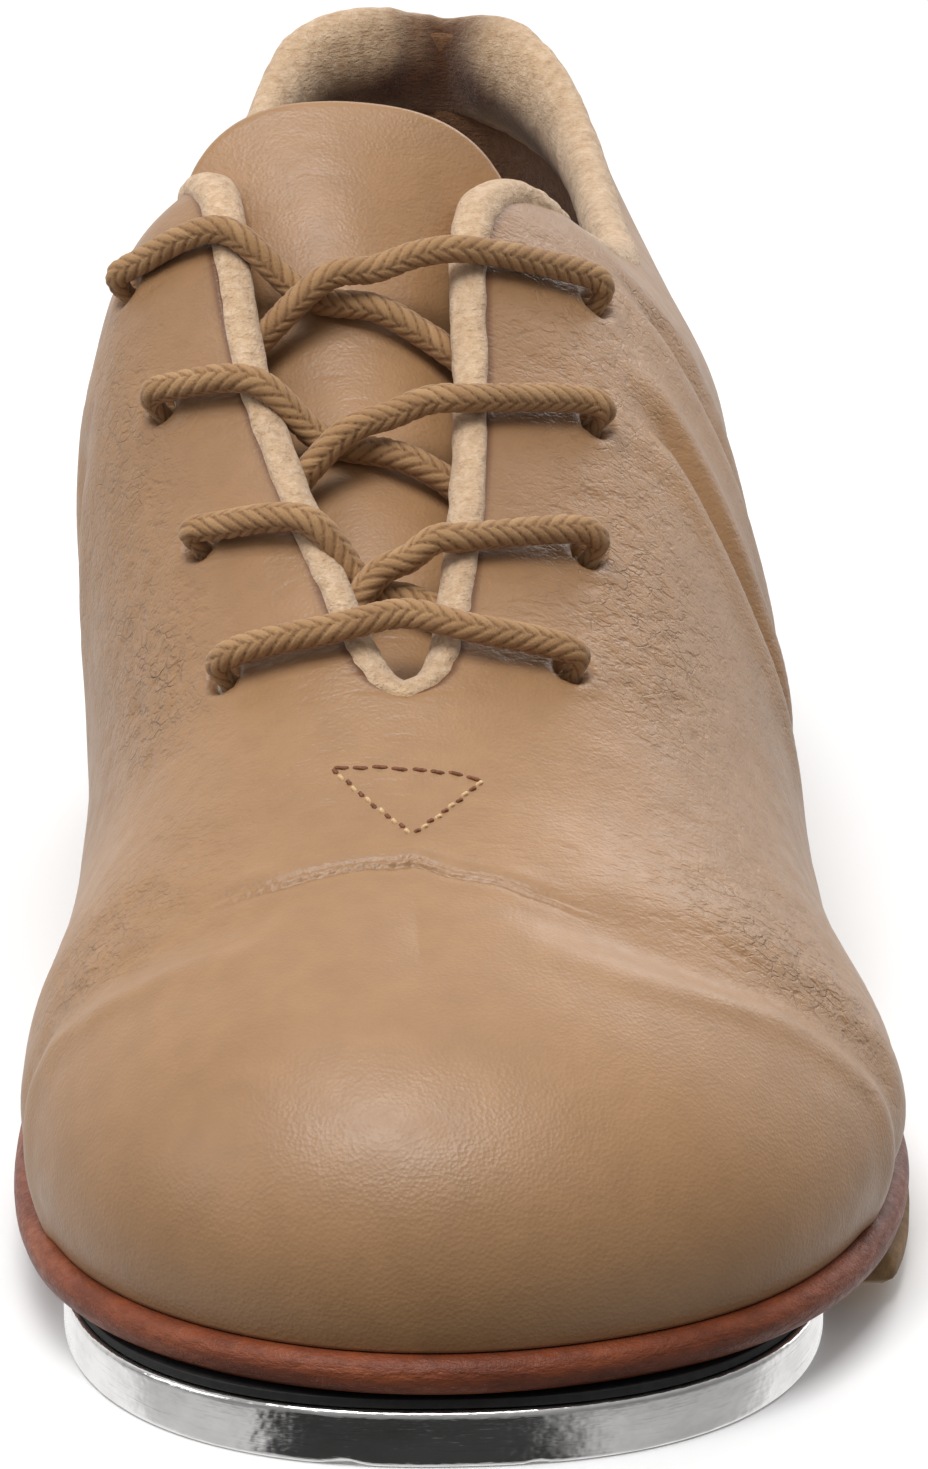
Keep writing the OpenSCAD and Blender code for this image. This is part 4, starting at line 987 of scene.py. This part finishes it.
# ---------------------------------------------------------------- stitched triangle
def stitches(name, runs):
    """Short threads along runs (start, end, count, whether every other stitch is cream as a painted
    highlight); both ends dip into the leather.
    """
    verts, faces, tones, m, k_n = [], [], [], 8, 11
    th = angles(m)
    for (ua, va), (ub, vb), count, with_highlights in runs:
        for k in range(count):
            q = np.linspace(0.0, 1.0, k_n)
            t = (k + 0.03 + 0.94 * q) / count
            arch = np.sin(q * math.pi) ** 0.6
            u, v = ua + (ub - ua) * t, va + (vb - va) * t
            n = normal(u, v)
            flat = skin(u, v)
            c = flat + n * (upper_relief(u, v, flat) + 0.30 * arch - 0.26)[:, None]
            tan = unit(np.gradient(c, axis=0))
            s = unit(np.cross(tan, n))
            c = c + s * (0.10 * np.sin(k * 2.4) + 0.08 * (q - 0.5)[:, None])
            r = 0.15 + 0.10 * arch
            twist = np.cos(2 * th[None] + np.linspace(0, 9, k_n)[:, None]) * 0.045
            ring = c[:, None] + spokes(s, n, th) * (r[:, None] + twist)[..., None]
            base = sum(len(x) for x in verts)
            verts.append(ring.reshape(-1, 3))
            faces += (grid_faces(k_n, m, False, True) + base).tolist()
            faces += [tuple(base + j for j in range(m))[::-1],
                      tuple(base + (k_n - 1) * m + j for j in range(m))]
            # every other stitch of such a run takes the cream thread, a painted highlight
            tones += [1 if with_highlights and k % 2 else 0] * ((k_n - 1) * m + 2)
    ob = make_mesh(name, np.vstack(verts), faces, [THREAD_DARK, THREAD_HIGHLIGHT])
    ob.data.polygons.foreach_set("material_index", np.array(tones, np.int32))
    fix_normals(ob)
    return ob


# the triangle's two rear corners and its point; each side of the shoe carries half of the rear line
INNER, OUTER, POINT = (4.0, 0.888), (-3.85, 0.905), (2.98, 0.998)
TRIANGLE = [(INNER, POINT, 12, True), ((-POINT[0], POINT[1]), OUTER, 10, True),
            (INNER, (3.94, 0.999), 4, False), ((-3.94, 0.999), OUTER, 4, False)]
thread = stitches("triangle_stitches", TRIANGLE)
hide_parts("vamp_stitching")
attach(thread, "forefoot")


# ---------------------------------------------------------------- soles
def edge_xy(u):
    """The upper's feather edge in plan."""
    return rib(u)[..., 0, :2]


def outline(us, e):
    """Feather edge moved outwards by e mm."""
    d = unit(edge_xy(us + 0.05) - edge_xy(us - 0.05))
    return edge_xy(us) + np.stack([-d[..., 1], d[..., 0]], -1) * e


def round_corners(p, r):
    """Outline with every sharp corner eased by moving averages over about r mm."""
    step = 0.8
    return relax(resample(np.vstack([p, p[:1]]), step)[:-1], int(r / step * 3))


def stacked(name, loops, material):
    """Closed body from loops (k, m, 3), with flat ends."""
    k, m, _ = loops.shape
    verts = loops.reshape(-1, 3)
    centres = np.stack([loops[0].mean(0), loops[-1].mean(0)])
    verts = np.vstack([verts, centres])
    faces = grid_faces(k, m, False, True).tolist()
    faces += [(j, k * m, (j + 1) % m) for j in range(m)]
    faces += [((k - 1) * m + j, (k - 1) * m + (j + 1) % m, k * m + 1) for j in range(m)]
    ob = make_mesh(name, verts, faces, material)
    fix_normals(ob)
    return ob


def layered_ends(name, flat_at, z_of, profile, material, inset=(3, 8, 16)):
    """Sole layer: profile is (outset, height share); flat faces follow z_of through inset loops."""
    (low_e, low_s), (high_e, high_s) = profile[0], profile[-1]
    steps = [(low_e - e, low_s) for e in inset[::-1]] + profile + [(high_e - e, high_s) for e in inset]
    loops = []
    for e, s in steps:
        q = flat_at(e)
        loops.append(np.column_stack([q, z_of(q[:, 1], s)]))
    return stacked(name, np.array(loops), material)


def offset_loop(p, e):
    """Closed outline moved outwards by e, kept free of crossings by smoothing."""
    t = unit(np.roll(p, -1, 0) - np.roll(p, 1, 0))
    q = p + np.stack([-t[:, 1], t[:, 0]], -1) * e
    return relax(q, int(-e * 3)) if e < -2 else q


front_us = np.linspace(-7.05, 7.05, 240)
front_loop = round_corners(outline(front_us, 0.0), 2.0)
rear_us = np.linspace(10, 18, 160)
rear_loop = round_corners(outline(rear_us, 0.0), 2.0)


def out_sign(p):
    """Sign that makes offset_loop grow the loop p."""
    area = (p[:, 0] * np.roll(p[:, 1], -1) - np.roll(p[:, 0], -1) * p[:, 1]).sum() / 2
    return -1 if area > 0 else 1


def grown(p):
    """Function that gives the loop p moved outwards by e mm."""
    sign = out_sign(p)
    return lambda e: offset_loop(p, e * sign)


front_at, rear_at = grown(front_loop), grown(rear_loop)
SOLE_T = 4.0
welt = [(0.2, 0), (1.2, 0.06), (1.8, 0.2), (2.1, 0.42), (2.15, 0.6), (1.9, 0.78), (1.3, 0.92), (0.3, 1.0)]
sole = layered_ends("forefoot_sole", front_at, lambda y, s: sole_z(y) + (s - 1) * SOLE_T, welt, SOLE)
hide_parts("forefoot_outsole")
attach(sole, "forefoot")


def strip_body(name, left, right, levels, material):
    """Closed slab between two border lines, levels in mm above the sole's lower face."""
    across = np.linspace(0, 1, 9)[None, :, None]
    grid = left[:, None] * (1 - across) + right[:, None] * across
    low = np.dstack([grid, sole_z(grid[..., 1]) - SOLE_T + levels[0]])
    high = np.dstack([grid, sole_z(grid[..., 1]) - SOLE_T + levels[1]])
    return sheet_body(name, high, low, material)


def border(points, ys):
    """The line x over y through points, at the given ys."""
    o = np.argsort(points[:, 1])
    return np.stack([np.interp(ys, points[o, 1], points[o, 0]), ys], 1)


ys = np.concatenate([np.linspace(4.5, -60.4, 70), np.linspace(-61.2, -89.0, 40)])
left_line = border(outline(np.linspace(-7, -2.8, 200), 0.9), ys)
right_line = border(outline(np.linspace(7, 4.0, 160), -4.0), ys)
right_line[ys < -60.8, 0] = 39.3
pad = strip_body("grip_pad", left_line, right_line, (-3.85, -0.05), GRIP)
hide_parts("forefoot_grip_pad")
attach(pad, "forefoot")

# insole sock from toe to heel, over both boards and the arch
sock_in = round_corners(outline(np.linspace(-14, 14, 420)[:-1], -4.2), 1.0)


def sock_z(y, s):
    """Height of the sock: thick on the boards, thin and lower over the arch."""
    step = smooth(-2, 16, y) * (1 - smooth(54, 70, y))
    low = 2.7 * (1 - step) + 0.2 * step
    high = 4.6 * (1 - step) + 1.2 * step
    return sole_z(y) + low + (high - low) * s


sock = layered_ends("insole_sock", grown(sock_in), sock_z,
                    [(-0.4, 0), (0, 0.3), (0, 0.7), (-0.5, 1.0)], LINING_SHADE_DARKENED, (2, 5, 9, 14))
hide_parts("front_sock", "heel_sock", "arch_lining")
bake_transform(sock)

arch_us = np.concatenate([np.linspace(-9.95, -7.05, 70), np.linspace(7.05, 9.95, 70)])
arch_loop = round_corners(outline(arch_us, 0.2), 1.5)
arch = layered_ends("arch_gusset_skin", grown(arch_loop),
                    lambda y, s: sole_z(y) - 1.5 + 1.4 * s + 0.4 * np.sin(y * 0.55) * (1 - s),
                    [(-1.0, 0), (-0.3, 0.1), (0.2, 0.5), (-0.2, 1.0)], LEATHER, (3, 8, 14))
for key, level in (("grain", 0.8), ("cut_edge", 0.0), ("grime", 0.0)):
    a = arch.data.attributes.new(key, "FLOAT", "POINT")
    a.data.foreach_set("value", np.full(len(arch.data.vertices), level, np.float32))
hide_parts("arch_gusset")
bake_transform(arch)


# ---------------------------------------------------------------- heel
seat_lo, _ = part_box("heel_seat")
seat = layered_ends("heel_seat_layer", rear_at,
                    lambda y, s: seat_lo.z / MM + (sole_z(y) - seat_lo.z / MM) * s,
                    [(0.3, 0), (1.1, 0.12), (1.5, 0.5), (1.2, 0.85), (0.4, 1)], SOLE, (3, 7, 12))
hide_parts("heel_seat")
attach(seat, "heel")
for node, e in (("heel_lift_upper", 0.4), ("heel_lift_middle", -0.1), ("heel_lift_lower", -0.6)):
    lo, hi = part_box(node)
    z0, z1 = lo.z / MM, hi.z / MM
    lift = layered_ends(node.replace("heel_", "stack_"), rear_at, lambda y, s: z0 + (z1 - z0) * s + 0 * y,
                        [(e - 0.45, 0), (e - 0.08, 0.05), (e, 0.2), (e + 0.03, 0.5), (e, 0.8),
                         (e - 0.08, 0.95), (e - 0.45, 1)],
                        LIFT, (3, 7, 12))
    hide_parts(node)
    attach(lift, "heel")


# ---------------------------------------------------------------- tap plates, boards and screws
def plate(name, loop, holes, z0, z1, bevel, material, hole_r, bend=None):
    """Flat plate with rounded rims and round holes, from a filled 2D curve."""
    cu = bpy.data.curves.new(name, "CURVE")
    cu.dimensions = "2D"
    cu.fill_mode = "BOTH"
    cu.extrude = max((z1 - z0) / 2 - bevel, 0.01) * MM
    cu.bevel_depth = bevel * MM
    cu.bevel_resolution = 3
    cu.offset = -bevel * MM
    t = np.linspace(0, 2 * math.pi, 41)[:-1]
    hole = hole_r * np.stack([np.cos(t), np.sin(t)], -1)
    rings_2d = [loop] + [np.array(h)[None] + hole for h in holes]
    for ring in rings_2d:
        sp = cu.splines.new("POLY")
        sp.points.add(len(ring) - 1)
        for q, (x, y) in zip(sp.points, ring):
            q.co = (x * MM, y * MM, 0, 1)
        sp.use_cyclic_u = True
    ob = bpy.data.objects.new(name, cu)
    bpy.context.scene.collection.objects.link(ob)
    dg = bpy.context.evaluated_depsgraph_get()
    dg.update()
    mesh = bpy.data.meshes.new_from_object(ob.evaluated_get(dg))
    bpy.data.objects.remove(ob)
    co = np.zeros(len(mesh.vertices) * 3, np.float32)
    mesh.vertices.foreach_get("co", co)
    co = co.reshape(-1, 3) / MM
    co[:, 2] += (z0 + z1) / 2
    if bend:
        co = bend(co)
    mesh.vertices.foreach_set("co", (co * MM).astype(np.float32).ravel())
    keep_rest(mesh, co)
    mesh.materials.clear()
    mesh.materials.append(material)
    mesh.name = name
    new = bpy.data.objects.new(name, mesh)
    bpy.context.scene.collection.objects.link(new)
    bm = bmesh.new()
    bm.from_mesh(mesh)
    bmesh.ops.remove_doubles(bm, verts=bm.verts, dist=1e-6)
    bmesh.ops.recalc_face_normals(bm, faces=bm.faces)
    for f in bm.faces:
        f.smooth = abs(f.normal.z) < 0.99
    bm.to_mesh(mesh)
    bm.free()
    return new


TAP_REAR, TAP_SLOPE, TAP_X = -63.0, 0.028, -2.0
TAP_T, BOARD_T, HEEL_TAP_T = 4.2, 1.0, 4.0
SCREW_R, SHANK_R, HOLE_PLAY, BOARD_PLAY = 3.4, 1.6, 0.2, 0.08
TAP_SCREWS = [(TAP_X, -112), (TAP_X - 26, -76), (TAP_X + 26, -76)]
HEEL_SCREWS = [(1, 112), (-15, 78), (17, 78)]


def tilt(co):
    """Lies on the sloping upper face of the toe tap."""
    a = -math.atan(TAP_SLOPE)
    y, z = co[:, 1] - TAP_REAR, co[:, 2].copy()
    out_co = co.copy()
    out_co[:, 1] = TAP_REAR + y * math.cos(a) - z * math.sin(a)
    out_co[:, 2] = y * math.sin(a) + z * math.cos(a)
    return out_co


def wedge(co):
    """Flat below, rising above towards the toe; the lower rim is a little nicked."""
    out_co = co.copy()
    out_co[:, 2] = co[:, 2] * (1 + TAP_SLOPE * (TAP_REAR - co[:, 1]) / TAP_T)
    nick = hump(co[:, 0], -13, 1.6) + 0.6 * hump(co[:, 0], 6, 0.9)
    out_co[:, 2] += 0.5 * nick * (co[:, 2] < 0.6) * (co[:, 1] < -110)
    return out_co


def tap_outline():
    """Toe tap in plan: a squarish half round in front, rounded rear corners."""
    a = np.radians(np.linspace(180, 360, 161))
    p = lambda v: np.sign(v) * np.abs(v) ** 0.86
    front = np.stack([TAP_X + 39 * p(np.cos(a)), -88 + 37.5 * p(np.sin(a))], -1)
    r = 9.0
    b = np.radians(np.linspace(0, 90, 20))
    right = np.stack([TAP_X + 37 - r + r * np.cos(b), TAP_REAR - r + r * np.sin(b)], -1)
    left = np.stack([TAP_X - 37 + r - r * np.sin(b), TAP_REAR - r + r * np.cos(b)], -1)
    return relax(resample(np.vstack([front, right, left, front[:1]]), 0.9)[:-1], 6)


tap_loop = tap_outline()
tap = plate("toe_tap_plate", tap_loop, TAP_SCREWS, 0, TAP_T, 0.55, METAL, SCREW_R + HOLE_PLAY, wedge)
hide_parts("toe_tap")
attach(tap, "forefoot")
board_z, board2_z = TAP_T + BOARD_PLAY, HEEL_TAP_T + BOARD_PLAY
board = plate("toe_tap_backing", grown(tap_loop)(-0.7), TAP_SCREWS, board_z, board_z + BOARD_T, 0.15,
              BOARD, SHANK_R + HOLE_PLAY, tilt)
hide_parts("toe_tap_board")
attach(board, "forefoot")
tap2 = plate("heel_tap_plate", rear_at(-0.8), HEEL_SCREWS, 0, HEEL_TAP_T, 0.5, METAL,
             SCREW_R + HOLE_PLAY)
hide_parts("heel_tap")
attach(tap2, "heel")
board2 = plate("heel_tap_backing", rear_at(-1.3), HEEL_SCREWS, board2_z, board2_z + BOARD_T, 0.15,
               BOARD, SHANK_R + HOLE_PLAY)
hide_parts("heel_tap_board")
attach(board2, "heel")


def screws(name, spots, length, bend=None):
    """Countersunk screws seen from below: head with a cross recess, threaded shank."""
    verts, faces = [], []
    m = 48
    th = angles(m)
    arm = np.maximum(np.abs(np.cos(th)), np.abs(np.sin(th))) > 0.93
    prof = [(0.0, 1.25), (0.35, 1.2), (1.0, 1.15), (1.9, 0.75), (2.2, 0.42), (2.9, 0.4), (3.25, 0.45),
            (3.35, 0.62), (2.6, 1.3), (1.75, 2.0)]
    z = 2.2
    while z < length - 1.5:
        prof += [(1.25, z), (1.55, z + 0.35), (1.55, z + 0.45), (1.25, z + 0.8)]
        z += 1.0
    prof += [(1.2, length - 1.2), (0.4, length - 0.1), (0.0, length)]
    for x, y in spots:
        base = sum(len(v) for v in verts)
        loops = []
        for r, zz in prof:
            depth = np.where(arm | (r < 0.5), zz, 0.4) if 0 < r <= 1.95 and zz < 1.3 else np.full(m, zz)
            loops.append(np.stack([x + r * np.cos(th), y + r * np.sin(th), depth], -1))
        ring = np.array(loops)
        verts.append(ring.reshape(-1, 3))
        faces += (grid_faces(len(prof), m, False, True) + base).tolist()
    v = np.vstack(verts)
    if bend:
        v = bend(v)
    ob = make_mesh(name, v, faces, SCREW)
    fix_normals(ob, merge=True)
    return ob


toe_screws = screws("toe_screws", TAP_SCREWS, 8.0, tilt)
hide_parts("toe_tap_screws")
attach(toe_screws, "forefoot")
rear_screws = screws("heel_screws", HEEL_SCREWS, 13.0)
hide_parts("heel_tap_screws")
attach(rear_screws, "heel")


# ---------------------------------------------------------------- inner pieces kept from the CAD
KEPT = {"toe_puff": STIFF, "facing_stay_medial": STIFF, "facing_stay_lateral": STIFF,
        "heel_counter": STIFF, "front_insole_board": INSOLE, "front_bottom_filler": CORK,
        "heel_insole_board": INSOLE, "heel_nails": SCREW}
for name, material in KEPT.items():
    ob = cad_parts[name]
    ob.data.materials.clear()
    ob.data.materials.append(material)


# ---------------------------------------------------------------- floor and light
def stage_mesh(name, verts, faces, colour, rough=0.6):
    """Plain surface of the studio, not part of the shoe."""
    mesh = bpy.data.meshes.new(name)
    mesh.from_pydata(verts, [], faces)
    ob = bpy.data.objects.new(name, mesh)
    bpy.context.scene.collection.objects.link(ob)
    mat = bpy.data.materials.new(name)
    mat.use_nodes = True
    mat.node_tree.nodes["Principled BSDF"].inputs["Base Color"].default_value = (*colour, 1)
    mat.node_tree.nodes["Principled BSDF"].inputs["Roughness"].default_value = rough
    mesh.materials.append(mat)
    return ob


floor = stage_mesh("floor", [(-6, -6, 0), (6, -6, 0), (6, 6, 0), (-6, 6, 0)], [(0, 1, 2, 3)],
                   (0.88, 0.88, 0.88))
# the pale floor is seen by the camera; the shoe itself is lit by the studio around it
floor.visible_diffuse = False
floor.visible_glossy = False

world = bpy.data.worlds.new("studio")
bpy.context.scene.world = world
world.use_nodes = True
wt = world.node_tree
way = wt.nodes.new("ShaderNodeTexCoord").outputs["Generated"]
parts = wt.nodes.new("ShaderNodeSeparateXYZ")
wt.links.new(way, parts.inputs[0])


def world_math(op, a, b):
    """One arithmetic step in the light of the surroundings."""
    return math_node(wt, op, a, b)


def world_step(value, start, end, low, high):
    """Soft step from low at start to high at end."""
    return range_node(wt, value, start, end, low, high, soft=True)


# bright backdrop behind, pale sides and ground, a dark patch in front of the toe
X, Y, Z = parts.outputs
glow = world_math("ADD", world_step(Y, 0.0, 0.8, 0.30, 0.95), world_step(Z, 0.2, 0.95, 0.0, 0.22))
glow = world_math("MULTIPLY", glow, world_step(X, 0.1, 0.8, 1.0, 0.78))
glow = world_math("MULTIPLY", glow, world_step(Z, -0.30, -0.02, 2.1, 1.0))
glow = world_math("MINIMUM", glow, 1.0)
patch = world_math("MULTIPLY", world_step(X, -0.66, -0.58, 0.0, 1.0), world_step(X, 0.26, 0.52, 1.0, 0.0))
patch = world_math("MULTIPLY", patch, world_step(Y, -0.50, -0.25, 1.0, 0.0))
patch = world_math("MULTIPLY", patch, world_step(Z, -0.16, 0.06, 1.0, 0.0))
glow = world_math("MULTIPLY", glow, world_math("SUBTRACT", 1.0, world_math("MULTIPLY", patch, 0.93)))
wt.links.new(glow, wt.nodes["Background"].inputs[1])
wt.nodes["Background"].inputs[0].default_value = (1.0, 0.99, 0.985, 1)


def area_light(name, location, target, size, power, colour=(1, 1, 1)):
    """Soft square lamp of some metres aimed at a target."""
    data = bpy.data.lights.new(name, "AREA")
    data.shape = "RECTANGLE"
    data.size, data.size_y = size
    data.energy = power
    data.color = colour
    ob = bpy.data.objects.new(name, data)
    bpy.context.scene.collection.objects.link(ob)
    ob.location = location
    ob.rotation_euler = (Vector(target) - Vector(location)).to_track_quat("-Z", "Y").to_euler()
    return ob


area_light("key", (-0.16, -0.36, 1.12), (0, -0.04, 0.05), (0.6, 0.6), 10.5)
area_light("side", (-0.9, -0.25, 0.55), (0, -0.02, 0.06), (0.5, 0.5), 1.8)
area_light("back", (0.5, 0.9, 0.7), (0, 0, 0.05), (0.6, 0.6), 3)
area_light("right", (0.85, 0.6, 0.3), (0, 0, 0.05), (0.5, 0.5), 1.0)
bpy.context.scene.view_settings.view_transform = "Standard"
